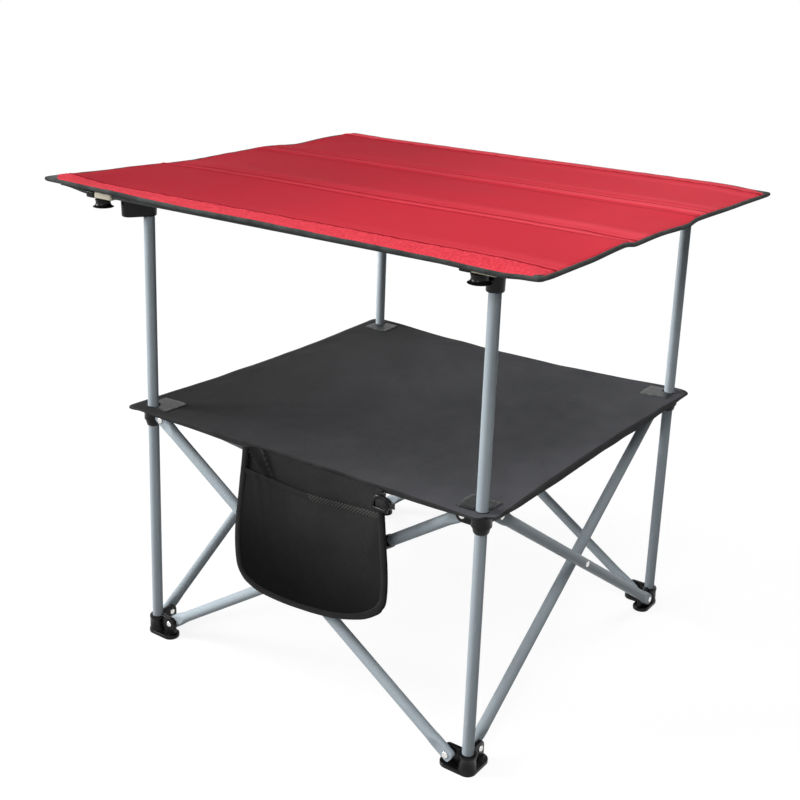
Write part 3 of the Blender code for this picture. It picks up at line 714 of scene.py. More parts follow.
def earPair(radius, low, high, thickness, pivotHeight, edge):
    # Two upright plates, along X and along Y, round about their pivots
    reach, start = table["pivotReach"], table["boreRadius"] + 0.0008
    outline = [(start, low)]
    if low < pivotHeight - radius - 0.001:
        outline += [(reach + radius, low)] + arc((reach, pivotHeight), radius, 0, quarterTurn, 12)
    else:
        outline += arc((reach, pivotHeight), radius, -quarterTurn, quarterTurn, 24)
    outline += [(start, high)]
    ears = []
    for swap in (False, True):
        ear = softEdges(plate(outline, -thickness / 2, thickness / 2), edge, 3, 40)
        turned(ear, Matrix.Rotation(quarterTurn, 4, "X"))
        if swap:
            turned(ear, Matrix.Rotation(quarterTurn, 4, "Z"))
        ears.append(ear)
    return ears


def makeHubs(plastic):
    size, bore = hubSizes, table["boreRadius"]
    rise, drop, flange = size["rise"], size["collarDrop"], size["flange"]
    under = rise - size["flangeDrop"]
    profile = [
        (bore, rise), (flange - 0.0007, rise), (flange, rise - 0.0007), (flange, under + 0.0006),
        (flange - 0.0006, under), (size["collar"] + 0.0006, under - 0.0002),
        (size["collar"], under - 0.0010), (size["collar"], -drop + 0.0006),
        (size["collar"] - 0.0006, -drop), (size["skirtTop"], -drop - 0.0002),
        (size["skirtTop"] - 0.0001, -drop - 0.0012), (size["skirtBottom"], -size["skirtDrop"] + 0.0012),
        (size["skirtBottom"] - 0.0007, -size["skirtDrop"]), (bore, -size["skirtDrop"])]
    for corner, name in enumerate(cornerNames):
        shapes = [lathe(profile, size["steps"], closed=True)]
        shapes += earPair(size["ear"], -size["ear"], rise - 0.0004, size["earThickness"], 0, size["edge"])
        hub = turned(together(shapes), cornerFrame(corner) @ Matrix.Translation((0, 0, table["hubPivot"])))
        pieceFrom(hub, "dressed_hub_" + name, [plastic], name + "_slider", ["hub_" + name],
                  38)


def makeFeet(plastic):
    size, bore = footSizes, table["boreRadius"]
    arm, reach, base = size["arm"], size["armReach"], size["base"]
    outline = arc((reach, 0), arm, -quarterTurn, quarterTurn, 18)
    outline += arc((arm + 0.003, arm + 0.003), 0.003, 3 * quarterTurn, 2 * quarterTurn, 4)
    outline += arc((0, reach), arm, 0, 2 * quarterTurn, 18)
    outline += arc((0, 0), arm, 2 * quarterTurn, 3 * quarterTurn, 9)
    socket, top = size["socket"], size["socketHeight"]
    profile = [
        (bore, base), (bore, top), (socket - 0.0012, top), (socket - 0.0004, top - 0.0004),
        (socket, top - 0.0013), (socket, top - 0.004), (socket - 0.0004, top - 0.0046),
        (socket - 0.0004, base + 0.002), (socket + 0.0006, base - 0.0005), (bore, base - 0.0005)]
    for corner, name in enumerate(cornerNames):
        shapes = [softEdges(plate(outline, 0, base), size["edge"], 3, 40),
                  lathe(profile, size["steps"], closed=True)]
        shapes += earPair(size["ear"], base / 2, table["footPivot"] + size["ear"],
                          size["earThickness"], table["footPivot"], size["edge"])
        pieceFrom(turned(together(shapes), cornerFrame(corner)), "dressed_foot_" + name, [plastic],
                  name + "_leg", ["foot_" + name], 38)


def makeHeads(plastic):
    size = headSizes
    outline = arc((0, 0), size["radius"], quarterTurn, 3 * quarterTurn, 24)
    outline += arc((size["reach"], 0), size["radius"], -quarterTurn, quarterTurn, 24)
    middle = Vector((size["reach"] / 2, 0, 0))
    for corner, name in enumerate(cornerNames):
        head = plate(outline, size["low"], size["high"])
        for vert in head.verts:
            if vert.co.z < size["low"] + 1e-5:
                vert.co -= (Vector((*vert.co.xy, 0)) - middle).normalized() * size["taper"]
        for height, width in ((size["low"], size["bottomEdge"]), (size["high"], size["topEdge"])):
            edges = [edge for edge in head.edges
                     if all(abs(vert.co.z - height) < 1e-5 for vert in edge.verts)]
            bmesh.ops.bevel(head, geom=edges, offset=width, segments=4, profile=0.5,
                            affect="EDGES", clamp_overlap=True, material=-1)
        turned(head, cornerFrame(corner)
               @ Matrix.Rotation(math.radians(225 + (-1) ** corner * size["skew"]), 4, "Z"))
        pieceFrom(head, "dressed_head_" + name, [plastic], name + "_leg", ["head_" + name],
                  30)


# What holds the top to its frame

clampSizes = {
    "spacing": 0.616, "fromMiddle": 0.335, "low": 0.6862, "forward": 0.005,
    "rodHeight": 0.6927, "rodFromMiddle": 0.340, "rodRadius": 0.004, "rodHalf": 0.386,
    "sleeve": (0.325, 0.384), "sleeveEdge": 0.0004, "sleeveFlat": 0.11,
    "grip": (-0.0225, -0.0060), "gripTall": 0.0098, "gripWide": 0.013, "gripEdge": 0.0024,
    "web": (0.010, 0.015), "webTop": 0.0102, "webThick": 0.0028, "webEdge": 0.0008,
    "bar": (-0.0070, 0.027), "barWide": 0.0116, "barTall": 0.0094, "barLow": 0.0004, "barEdge": 0.0026,
    "knob": 0.0112, "flange": 0.0147, "knobTop": -0.0003, "knobHeight": 0.012, "flangeHeight": 0.0021,
}


def shapeRod():
    # Along X. Its sleeve flattens towards the sewn ends.
    size = clampSizes
    far, near = size["sleeve"][1], size["sleeve"][0]
    rod = ringedTube(size["rodRadius"], -size["rodHalf"], size["rodHalf"],
                     spread(-far, -near, 8) + spread(near, far, 8), 24)
    return alongX(softEdges(rod, 0.0008, 3, 60))


def shapeKnob():
    # A spool with a flange at its foot
    size = clampSizes
    top = size["knobTop"]
    bottom, rim, flange = top - size["knobHeight"], size["knob"], size["flange"]
    neck = bottom + size["flangeHeight"]
    return lathe([(0, bottom), (flange - 0.0008, bottom), (flange, bottom + 0.0006),
                  (flange - 0.0006, bottom + 0.0013), (rim + 0.0012, neck), (rim - 0.0002, neck + 0.0016),
                  (rim - 0.0008, neck + 0.0036), (rim - 0.0008, top - 0.0034), (rim - 0.0003, top - 0.0030),
                  (rim, top - 0.0022), (rim, top - 0.0009), (rim - 0.0008, top), (0, top)], 56)


def makeClamps(plastic, cream, rodFinish):
    size = clampSizes
    for word, way in (("near", -1), ("far", 1)):
        rod = turned(shapeRod(), Matrix.Translation((0, way * size["rodFromMiddle"], size["rodHeight"])))
        for vert in rod.verts:
            under = table["topUnderside"]
            flat = under - size["sleeveEdge"] - size["sleeveFlat"] * (1 - vert.co.z / under)
            vert.co.z += (flat - vert.co.z) * smoothStep(*size["sleeve"], abs(vert.co.x))
        pieceFrom(rod, "edge_rod_" + word, [rodFinish], "top_" + word, ["hem_rod_" + word])
    for name, (wayX, wayY) in cornerSigns.items():
        at = Matrix.Translation((wayX * size["spacing"] / 2, wayY * size["fromMiddle"], size["low"]))
        word = "near" if wayY < 0 else "far"
        row, rods = "top_" + word, ["hem_rod_" + word]
        forward, half = wayY * size["forward"], size["gripWide"] / 2
        start, end = size["grip"]
        bracket = softEdges(block((start, forward - half, 0), (end, forward + half, size["gripTall"])),
                            size["gripEdge"], 4, 60)
        reach, wide, top = size["web"][0], size["web"][1], size["webTop"]
        web = softEdges(block((end - 0.001, -wide / 2, top - size["webThick"]), (reach, wide / 2, top)),
                        size["webEdge"], 3, 60)
        pieceFrom(turned(together([bracket, web]), at), "bracket_" + name, [plastic], row, rods,
                  30)
        start, end = size["bar"]
        half, low = size["barWide"] / 2, size["barLow"]
        bar = softEdges(block((start, forward - half, low), (end, forward + half, low + size["barTall"])),
                        size["barEdge"], 4, 60)
        pieceFrom(turned(bar, at), "bar_" + name, [cream], row, rods, 40)
        pieceFrom(turned(shapeKnob(), at), "dressed_knob_" + name, [plastic],
                  "knob_" + name, ["knob_" + name], 40)


# Shelf

shelf = {
    "half": 0.314, "drawIn": 0.010, "thickness": 0.0013,
    "roundCorner": {"left": 0.014, "front": 0.014, "right": 0.026, "back": 0.018},
    "trimmed": {"front": 0.66},
    "hemDrop": {"near_left": 0.0062, "near_right": 0.0090, "far_right": 0.0075, "far_left": 0.0075},
    "hemRise": 0.55, "farSag": 0.0042,
    "hemTop": 0.0045, "sag": 0.0035, "waves": 0.0011, "cornerPiece": 0.062, "foldLine": 0.0424,
    "hole": 0.0098, "holeFade": 0.014, "gather": 0.11, "aroundPost": [0.0125, 0.016, 0.021, 0.029, 0.037],
    "patchReach": 0.034, "patchBack": -0.0108, "patchThickness": 0.0012, "patchCorner": 0.006,
    "patchHang": 0.0005, "patchLift": 0.0003,
}


def shelfHeight(x, y):
    # Height over the flat shelf at a place measured from its middle
    half = shelf["half"]
    corner = math.hypot(half - abs(x), half - abs(y))
    fade = smoothStep(0.04, 0.14, corner)
    sag = shelf["sag"] * math.cos(x / half * 1.4) * math.cos(y / half * 1.4)
    waves = ripple(x, y, 3.1, 0.11) * 1.2 + ripple(x + y, (x - y) * 0.25, 7.7, 0.055) * 0.5
    slack = bell(max(abs(x), abs(y)) / half - 0.93, 0.06) * ripple(x, y, 5.2, 0.05) * 1.3
    sag += shelf["farSag"] * smoothStep(0.16, half, y) * (1 - (x / half) ** 2)
    return fade * (shelf["waves"] * (waves + slack) - sag)


def drawnIn(along):
    share = min(1.0, abs(along) / (shelf["half"] - 0.010))
    return shelf["drawIn"] * (1 - share * share)


def roundedCorner(x, y, centreX, centreY, wayX, wayY):
    # Turns a square corner into a round one about its centre
    offX, offY = (x - centreX) * wayX, (y - centreY) * wayY
    if offX <= 0 or offY <= 0:
        return x, y
    share = max(offX, offY) / math.hypot(offX, offY)
    return centreX + wayX * offX * share, centreY + wayY * offY * share


def aroundPost(x, y):
    # Turns the square hole in the grid into a round one
    square, reach = max(abs(x), abs(y)), math.hypot(x, y)
    if reach < 1e-9:
        return x, y
    share = square / reach
    keep = smoothStep(shelf["hole"], shelf["hole"] + shelf["holeFade"], square)
    share = share * (1 - keep) + keep
    return x * share, y * share


def onShelf(corner, x, y):
    # From the cut cloth's place, measured from the post, to its place in space
    half, post = shelf["half"], table["postSpacing"] / 2
    outer = post - half
    flatX, flatY = max(x, outer), max(y, outer)
    rise = shelf["hemRise"]
    full = rise + (1 - rise) * smoothStep(0.07, 0.2, max(flatX, flatY) - outer)
    hang = max((outer - x) * smoothStep(0.02, 0.09, flatY - outer),
               (outer - y) * smoothStep(0.02, 0.09, flatX - outer), 0.0) * full
    fromX, fromY = flatX - post, flatY - post
    fromX, fromY = (fromX + drawnIn(fromY) * (abs(fromX) / half) ** 3,
                    fromY + drawnIn(fromX) * (abs(fromY) / half) ** 3)
    name = cornerNames[corner]
    centre = shelf["roundCorner"][name] - half
    fromX, fromY = roundedCorner(fromX, fromY, centre, centre, -1, -1)
    localX, localY = aroundPost(fromX + post, fromY + post)
    reach = math.hypot(localX, localY)
    if localX < 0 and localY < 0 and reach > shelf["hole"]:
        tip = (2 * localX * localY / reach ** 2) ** 2 * shelf["trimmed"].get(name, 0)
        share = (shelf["hole"] + (reach - shelf["hole"]) * (1 - tip)) / reach
        localX, localY = localX * share, localY * share
    flat = cornerFrame(corner) @ Vector((localX, localY, 0))
    height = shelfHeight(flat.x - table["shiftX"], flat.y)
    height -= hang + 0.0006 * bell(min(flatX, flatY) - outer, 0.0015)
    return Vector((flat.x, flat.y, shelfTop + height))


def layCut(shape, place=Matrix()):
    # Writes the flat cut again, after the grid was trimmed or moved
    cut = shape.loops.layers.uv.verify()
    for face in shape.faces:
        for loop in face.loops:
            loop[cut].uv = (place @ loop.vert.co).xy


def holeOut(shape):
    hole = shelf["hole"]
    inside = [face for face in shape.faces
              if max(abs(part) for part in face.calc_center_median().xy) < hole]
    bmesh.ops.delete(shape, geom=inside, context="FACES")


def splitOnFold(shape):
    line = shelf["foldLine"] / 2
    bmesh.ops.bisect_plane(shape, geom=shape.verts[:] + shape.edges[:] + shape.faces[:],
                           dist=1e-7, plane_co=(line, line, 0), plane_no=(1, 1, 0))


def nearPost(place):
    reach = shelf["cornerPiece"]
    return place.x < reach and place.y < reach and place.x + place.y < shelf["foldLine"]


def makeShelf(cloth, tape, vinyl):
    post = table["postSpacing"] / 2
    outer = post - shelf["half"]
    hole = shelf["hole"]
    # rows crowd together at the hem and round the post
    inner = [outer + 0.0015, outer + shelf["hemTop"], outer + 0.0105, -hole, -hole / 2, 0.0, hole / 2, hole]
    inner += shelf["aroundPost"] + [0.045, 0.053] + spread(shelf["cornerPiece"], post, 38)
    for corner, name in enumerate(cornerNames):
        dropY = shelf["hemDrop"][sideNames[corner]]
        dropX = shelf["hemDrop"][sideNames[(corner - 1) % 4]]
        xStops = [outer - dropX, outer - dropX / 2, outer] + inner
        yStops = [outer - dropY, outer - dropY / 2, outer] + inner
        for part, wanted in (("cloth", lambda place: not nearPost(place)), ("corner", nearPost)):
            shape = clothGrid(xStops, yStops)
            holeOut(shape)
            splitOnFold(shape)
            keepFaces(shape, wanted)
            layCut(shape, cornerFrame(corner))
            area = flatArea(shape)
            for face in shape.faces:
                middle = face.calc_center_median()
                face.material_index = 1 if min(middle.x, middle.y) < outer + shelf["hemTop"] else 0
            for vert in shape.verts:
                vert.co = onShelf(corner, vert.co.x, vert.co.y)
            body = "shelf_corner_" + name if part == "cloth" else name + "_slider"
            piece = pieceFrom(shape, "shelf_" + part + "_" + name, [cloth, tape], body,
                              ["shelf_cloth"], 60)
            walled(piece, shelf["thickness"])
            if part == "cloth":
                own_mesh(piece)
        makePatch(corner, name, vinyl)


def makePatch(corner, name, vinyl):
    back, reach, turn = shelf["patchBack"], shelf["patchReach"], shelf["patchCorner"]
    hole, thick = shelf["hole"], shelf["patchThickness"]
    stops = [back, -hole, -hole / 2, 0.0, hole / 2, hole, 0.0125, 0.016, 0.0195]
    stops += spread(0.0225, reach - 0.0012, 6) + [reach]
    for part, wanted in (("base", lambda place: place.x + place.y < shelf["foldLine"]),
                         ("tongue", lambda place: place.x + place.y > shelf["foldLine"])):
        shape = clothGrid(stops, stops)
        holeOut(shape)
        splitOnFold(shape)
        keepFaces(shape, wanted)
        layCut(shape)
        area = flatArea(shape)
        for vert in shape.verts:
            x, y = roundedCorner(vert.co.x, vert.co.y, reach - turn, reach - turn, 1, 1)
            x, y = roundedCorner(x, y, back + 0.004, back + 0.004, -1, -1)
            rim = min(reach - max(vert.co.x, vert.co.y), min(vert.co.x, vert.co.y) - back)
            place = onShelf(corner, x, y)
            place.z += shelf["patchLift"] + thick - shelf["patchHang"] * (1 - smoothStep(0, 0.002, rim))
            vert.co = place
        body = name + "_slider" if part == "base" else "shelf_corner_" + name
        nodes = ["shelf_patch_" + name] if part == "tongue" else []
        piece = pieceFrom(shape, "patch_%s_%s" % (part, name), [vinyl], body, nodes, 60)
        walled(piece, thick - 0.0002)


def patchVinyl():
    look = {"base": (0.095, 0.099, 0.102), "dark": (0.016, 0.0165, 0.017), "line": (0.28, 0.29, 0.29)}
    finish = Finish("patch_vinyl", look["base"], Roughness=0.5)
    where = finish.place("UV")
    across, along = finish.parts(where)[:2]
    far = across.most(along)
    reach = shelf["patchReach"]
    stitch = finish.step(abs(far - reach + 0.0036), 0.0010, 0.0004) * ((across + along) % 0.0028 > 0.0008)
    # a pale line along the patch's edge is a painted highlight on its rim; the stitch beside it is real
    # pale thread
    rim = finish.step(far, reach - 0.0014, reach - 0.0004)
    cloud = finish.cloud(where, 95, 4.0, 0.6)
    worn = finish.step(finish.cloud(finish.stretched(where, (1, 2.2, 1)), 60, 3.0, 0.6), 0.45, 0.62)
    shade = finish.mix(finish.step(cloud, 0.40, 0.72) * (worn * 0.8 + 0.2), look["dark"], look["base"])
    stitchAndRimHighlight = stitch.most(rim)
    finish.give("Base Color", finish.mix(stitchAndRimHighlight * (worn * 0.6 + 0.15), shade, look["line"]))
    finish.give("Roughness", cloud * 0.2 + 0.38)
    grain = finish.cloud(where, 900, 2.0)
    finish.give("Normal", finish.bump(grain * 0.5 + stitch, 0.3, 0.0004))
    return finish


# Pocket

pocket = {
    "left": [(-0.0640, 0.372), (-0.0650, 0.355), (-0.0712, 0.303), (-0.0781, 0.2398),
             (-0.0755, 0.1945), (-0.0665, 0.1765)],
    "bottom": [(-0.0665, 0.1765), (-0.0550, 0.1690), (-0.0305, 0.1625), (0.0225, 0.1614),
               (0.0882, 0.1683), (0.1372, 0.1830), (0.1640, 0.1995), (0.1708, 0.2085)],
    "right": [(0.1640, 0.372), (0.1676, 0.3432), (0.1719, 0.2996), (0.1763, 0.2512),
              (0.1755, 0.2190), (0.1708, 0.2085)],
    "mouth": [(-0.066, 0.3392), (-0.0327, 0.3386), (-0.0167, 0.3373), (0.0169, 0.3351),
              (0.0546, 0.3342), (0.1019, 0.3367), (0.1554, 0.3397), (0.168, 0.3405)],
    "back": -0.3086, "seam": -0.3118, "bulge": 0.0115, "columns": 66, "rows": 60,
    "clothThickness": 0.0011, "piping": 0.0056, "pipingFlat": 0.42, "band": 0.0088, "netFrom": 0.50,
    "anchorX": -0.27, "gather": 0.22,
    "ring": [(0.1560, 0.3480), (0.1570, 0.3570), (0.1628, 0.3648), (0.1712, 0.3655), (0.1775, 0.3618),
             (0.1790, 0.3540), (0.1772, 0.3475), (0.1560, 0.3480)],
    "ringWire": 0.0032, "ringY": -0.3156, "strapY": -0.3140, "endTilt": 0.16, "strapThickness": 0.0014,
    "bandThickness": 0.0009, "bandAbove": 0.0010, "bandRows": 4,
    "strap": ((0.1625, 0.1755), (0.3465, 0.3712)), "strapEnd": ((0.1780, 0.1892), (0.3528, 0.3600)),
    "backCut": (0.255, 0.212), "frontCut": (0.262, 0.186), "strapCut": (0.013, 0.0247),
}
upright = Matrix.Rotation(-quarterTurn, 4, "X")  # reads Z as the cloth's length


def pocketPatch(left, right, top, bottom, columns, rows):
    # Fills the space between four lines. Returns what gives the place of a column and a row.
    def line(points, count):
        return smoothLine([(x, 0, z) for x, z in points], count)

    leftLine, rightLine = line(left, rows), line(right, rows)
    topLine, bottomLine = line(top, columns), line(bottom, columns)

    def place(column, row):
        u, v = column / columns, row / rows
        sides = leftLine[row] * (1 - u) + rightLine[row] * u
        ends = topLine[column] * (1 - v) + bottomLine[column] * v
        corners = (topLine[0] * (1 - u) * (1 - v) + topLine[-1] * u * (1 - v)
                   + bottomLine[0] * (1 - u) * v + bottomLine[-1] * u * v)
        return sides + ends - corners
    return place


def cutBelow(points, height):
    # The part of a side line under a height, starting on it
    for (x0, z0), (x1, z1) in zip(points, points[1:]):
        if z1 < height:
            share = (z0 - height) / (z0 - z1)
            rest = points[points.index((x1, z1)):]
            return [(x0 + (x1 - x0) * share, height)] + rest
    return points


def pocketFront(u, v, x, z):
    # How far the front panel stands out, and its folds
    full = (1 - abs(2 * u - 1) ** 2.4) * (1 - v ** 2.6) ** 0.8
    gape = 0.22 + 0.78 * smoothStep(0.0, 0.4, v)
    sway = ripple(x, z * 0.5, 2.4, 0.055) * 0.5 + ripple(x * 1.6 + z * 0.5, z * 0.35, 9.2, 0.03) * 0.22
    pleats = (bell(x + 0.052 - (0.372 - z) * 0.25, 0.006) + bell(x + 0.030 - (0.372 - z) * 0.2, 0.006)
              + bell(x - 0.165 + (0.372 - z) * 0.12, 0.008)) * bell(v, 0.28)
    lower = bell(v - 0.80, 0.14) * ripple(x * 0.6, z * 2.2, 4.4, 0.03) * 0.8
    out = pocket["bulge"] * (full * gape + 0.14 * (sway + lower) * full + 0.10 * pleats)
    return pocket["seam"] - max(0.0, out)


def makePocket(cloth, piping, band, mesh, buckle):
    size = pocket
    columns, rows = size["columns"], size["rows"]

    def panel(name, place, depth, finishes, rows=rows, thickness=size["clothThickness"]):
        # A panel's left part has the first finish, and its net part the last
        shape = clothGrid(spread(0, 1, columns), spread(0, 1, rows))
        for face in shape.faces:
            net = face.calc_center_median().x > size["netFrom"]
            face.material_index = len(finishes) - 1 if net else 0
        for vert in shape.verts:
            u, v = vert.co.xy
            spot = place(round(u * columns), round(v * rows))
            vert.co = (spot.x, depth(u, v, spot.x, spot.z), spot.z)
        layCut(shape, upright)
        bmesh.ops.reverse_faces(shape, faces=shape.faces)
        area = flatArea(shape)
        piece = pieceFrom(shape, name, finishes, "left_slider", ["pocket"], 60)
        return walled(piece, thickness), area

    backPlace = pocketPatch(size["left"], size["right"],
                            [size["left"][0], (0.05, 0.3715), size["right"][0]], size["bottom"],
                            columns, rows)

    def backDepth(u, v, x, z):
        drop = 0.368 - z
        creases = bell(x + 0.0590 - drop * 0.93, 0.0026) + bell(x + 0.0295 - drop * 0.44, 0.0026)
        creases -= 0.8 * bell(x + 0.044 - drop * 0.7, 0.006)
        sway = ripple(x, z, 6.6, 0.035) * 0.0011 * (1 - abs(2 * u - 1) ** 3)
        return size["back"] - 0.0052 * creases * bell(v, 0.30) - abs(sway) * bell(v, 0.3)

    back, backArea = panel("pocket_back", backPlace, backDepth, [cloth])
    leftSide = cutBelow(size["left"], size["mouth"][0][1])
    rightSide = cutBelow(size["right"], size["mouth"][-1][1])
    mouth = leftSide[:1] + size["mouth"][1:-1] + rightSide[:1]
    frontPlace = pocketPatch(leftSide, rightSide, mouth, size["bottom"], columns, rows)
    front, frontArea = panel("pocket_front", frontPlace, pocketFront, [cloth])

    # the band sewn along the mouth, plain at its left and net at its right
    bandRows, above = size["bandRows"], size["bandAbove"]

    def bandPlace(column, row):
        return frontPlace(column, 0) + Vector((0, 0, above - size["band"] * row / bandRows))

    def bandDepth(u, v, x, z):
        seam = pocketFront(u, 0.0, x, z - above + size["band"] * v)
        return seam - 0.0006 - 0.0010 * bell(v - 0.35, 0.5)

    mouthBand = panel("pocket_mouth_band", bandPlace, bandDepth, [band, mesh], bandRows,
                      size["bandThickness"])[0]

    # piping round the edge
    rim = size["left"][:-1] + size["bottom"] + size["right"][:-1][::-1]
    seam = size["seam"]
    tube = strand(smoothLine([(x, seam + 0.0004, z) for x, z in rim], 130), size["piping"], 8)
    for vert in tube.verts:
        x, y, z = vert.co
        y = seam + (y - seam) * size["pipingFlat"]
        y -= 0.0009 * bell(x - 0.175, 0.03) + 0.0004 * ripple(x, z, 3.3, 0.03)
        vert.co.y = min(y, size["back"] + 0.0002)
    pipe = pieceFrom(tube, "pocket_piping", [piping], "left_slider", ["pocket"], 80)

    # the strap and its square ring at the upper right
    ring = strand([(x, size["ringY"], z) for x, z in size["ring"]], size["ringWire"], 8)
    buckleRing = pieceFrom(ring, "pocket_buckle", [buckle], "left_slider", sharper=60)
    flaps, areas = [], []
    for name, finish, (wide, tall), tilt in (("pocket_strap", band, size["strap"], 0.0),
                                             ("pocket_strap_end", mesh, size["strapEnd"], size["endTilt"])):
        flap = clothGrid(spread(*wide, 6), spread(*tall, 10))
        area = flatArea(flap)
        for vert in flap.verts:
            x, z = vert.co.x, vert.co.y
            over = 0.0030 * bell(z - 0.3575, 0.006) * (1 - 4 * tilt)  # where it passes over the ring
            vert.co = (x, size["strapY"] - over + (x - wide[0]) * tilt, z)
        bmesh.ops.reverse_faces(flap, faces=flap.faces)
        piece = pieceFrom(flap, name, [finish], "left_slider", sharper=60)
        flaps.append(walled(piece, size["strapThickness"]))
        areas.append(area)
    strap, tongue = flaps

    for piece in (back, front, mouthBand, pipe, buckleRing, strap, tongue):
        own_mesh(piece)


# Top

top = {
    "length": 0.800, "width": 0.725, "corner": 0.006, "cap": 0.030, "tuck": 0.0018,
    "underside": 0.6971, "lift": 0.7035, "panelThickness": 0.0058,
    "stripHalf": 0.007, "clothThickness": 0.0012,
    "binding": 0.0028, "bindingInset": 0.0024, "bindingHeight": 0.70035, "bindingWave": 0.0004,
    "hemStitch": 0.3240, "nearGroove": -0.1150, "nearRidge": -0.136, "farGroove": 0.119, "farRidge": 0.088,
    "leftEdge": [(-0.36, 0.0050), (-0.22, 0.0015), (-0.07, -0.0026), (0.03, -0.0002), (0.11, 0.0016),
                 (0.19, -0.0022), (0.29, 0.0020), (0.36, 0.0016)],
    "rightEdge": [(-0.36, -0.0028), (-0.25, -0.0020), (-0.151, 0.0012), (-0.118, -0.0026),
                  (-0.054, -0.0016), (0.044, -0.0044), (0.078, -0.0006), (0.23, -0.0026), (0.36, -0.0040)],
    "nearEdge": [(-0.4, 0.0050), (-0.277, 0.0030), (-0.17, 0.0006), (-0.13, -0.0004), (-0.03, 0.0004),
                 (0.16, -0.0014), (0.25, -0.0024), (0.35, -0.0046), (0.38, -0.0024), (0.40, -0.0016)],
    "edgeFade": (0.090, 0.035),
}


def rimHeight(x, y):
    # How far the edge rises or sags there
    halfX, halfY = top["length"] / 2, top["width"] / 2
    deepX, deepY = top["edgeFade"]
    left = 1 - smoothStep(0.0, deepX, x + halfX)
    right = 1 - smoothStep(0.0, deepX, halfX - x)
    near = 1 - smoothStep(0.0, deepY, y + halfY)
    side = between(top["leftEdge"], y) * left + between(top["rightEdge"], y) * right
    return side * (1 - near) + between(top["nearEdge"], x) * near


def topHeight(x, y):
    halfX, halfY = top["length"] / 2, top["width"] / 2
    edge, side = min(halfX - abs(x), halfY - abs(y)), halfX - abs(x)
    height = -0.0019 * (1 - smoothStep(0.0, 0.0050, edge)) - 0.0004
    # the hem puckers along its stitch, between two welts
    hem = abs(y) - top["hemStitch"]
    onHem = smoothStep(-0.004, 0.006, hem) * (1 - smoothStep(0.024, 0.034, hem))
    pucker = ripple(x, y * 0.3, 1.7, 0.014) * bell(hem, 0.012)
    height += 0.00075 * (pucker + 0.8 * ripple(x, y * 0.5, 5.9, 0.022) * onHem)
    height += 0.00060 * (bell(hem - 0.0026, 0.0016) + bell(hem + 0.0026, 0.0016))
    height -= 0.0009 * bell(hem, 0.0014)
    # each seam is a ridge and a groove with ripples beside them
    for ridge, groove, seed in ((top["nearRidge"], top["nearGroove"], 2.2),
                                (top["farRidge"], top["farGroove"], 8.8)):
        height += 0.0008 * bell(y - ridge, 0.0022) - 0.0013 * bell(y - groove, 0.0016)
        height += 0.0005 * bell(y - (ridge + groove) / 2, 0.010)
        height += 0.00055 * ripple(x, y * 0.4, seed, 0.018) * bell(y - ridge, 0.010)
        height += 0.00045 * ripple(x, y * 0.4, seed + 3, 0.026) * bell(y - groove, 0.012)
    # wide waves in the panels, and soft rises beside the seams
    height += 0.0009 * ripple(x * 0.5, y, 0.4, 0.10) * smoothStep(0.0, 0.03, edge)
    for seam, rise in ((top["nearGroove"], 0.0006), (top["farGroove"], 0.0009),
                       (-halfY, 0.0012), (halfY, 0.0012)):
        height += rise * bell(abs(y - seam) - 0.028, 0.020)
    height += 0.0011 * ripple(x * 0.4, y, 6.1, 0.018) * bell(side - 0.004, 0.010)
    return top["lift"] + height + rimHeight(x, y)


def topPlace(x, y):
    halfX, halfY, turn = top["length"] / 2, top["width"] / 2, top["corner"]
    height = topHeight(x, y)
    x, y = x * (1 - top["tuck"] / halfX), y * (1 - top["tuck"] / halfY)
    halfX, halfY = halfX - top["tuck"], halfY - top["tuck"]
    for wayX, wayY in cornerSigns.values():
        x, y = roundedCorner(x, y, wayX * (halfX - turn), wayY * (halfY - turn), wayX, wayY)
    return Vector((x, y, height))


def inCap(place):
    # The binding is folded over the corners
    fromSide = top["length"] / 2 - abs(place.x)
    fromEnd = top["width"] / 2 - abs(place.y)
    reach = top["cap"] if place.x * place.y > 0 else top["cap"] * 0.6
    return fromSide + fromEnd < reach


def stopsBetween(low, high, fine, coarse=0.0052, close=0.0012, reach=0.0066):
    # Rows that crowd together near the seams
    stops, place = [low], low
    while place < high - 1e-9:
        near = min(abs(place - seam) for seam in fine)
        pace = close if near < reach else min(coarse, close + (near - reach) * 0.5)
        place = min(high, place + pace)
        stops.append(place)
    if len(stops) > 2 and stops[-1] - stops[-2] < close * 0.5:
        stops.pop(-2)
    return stops


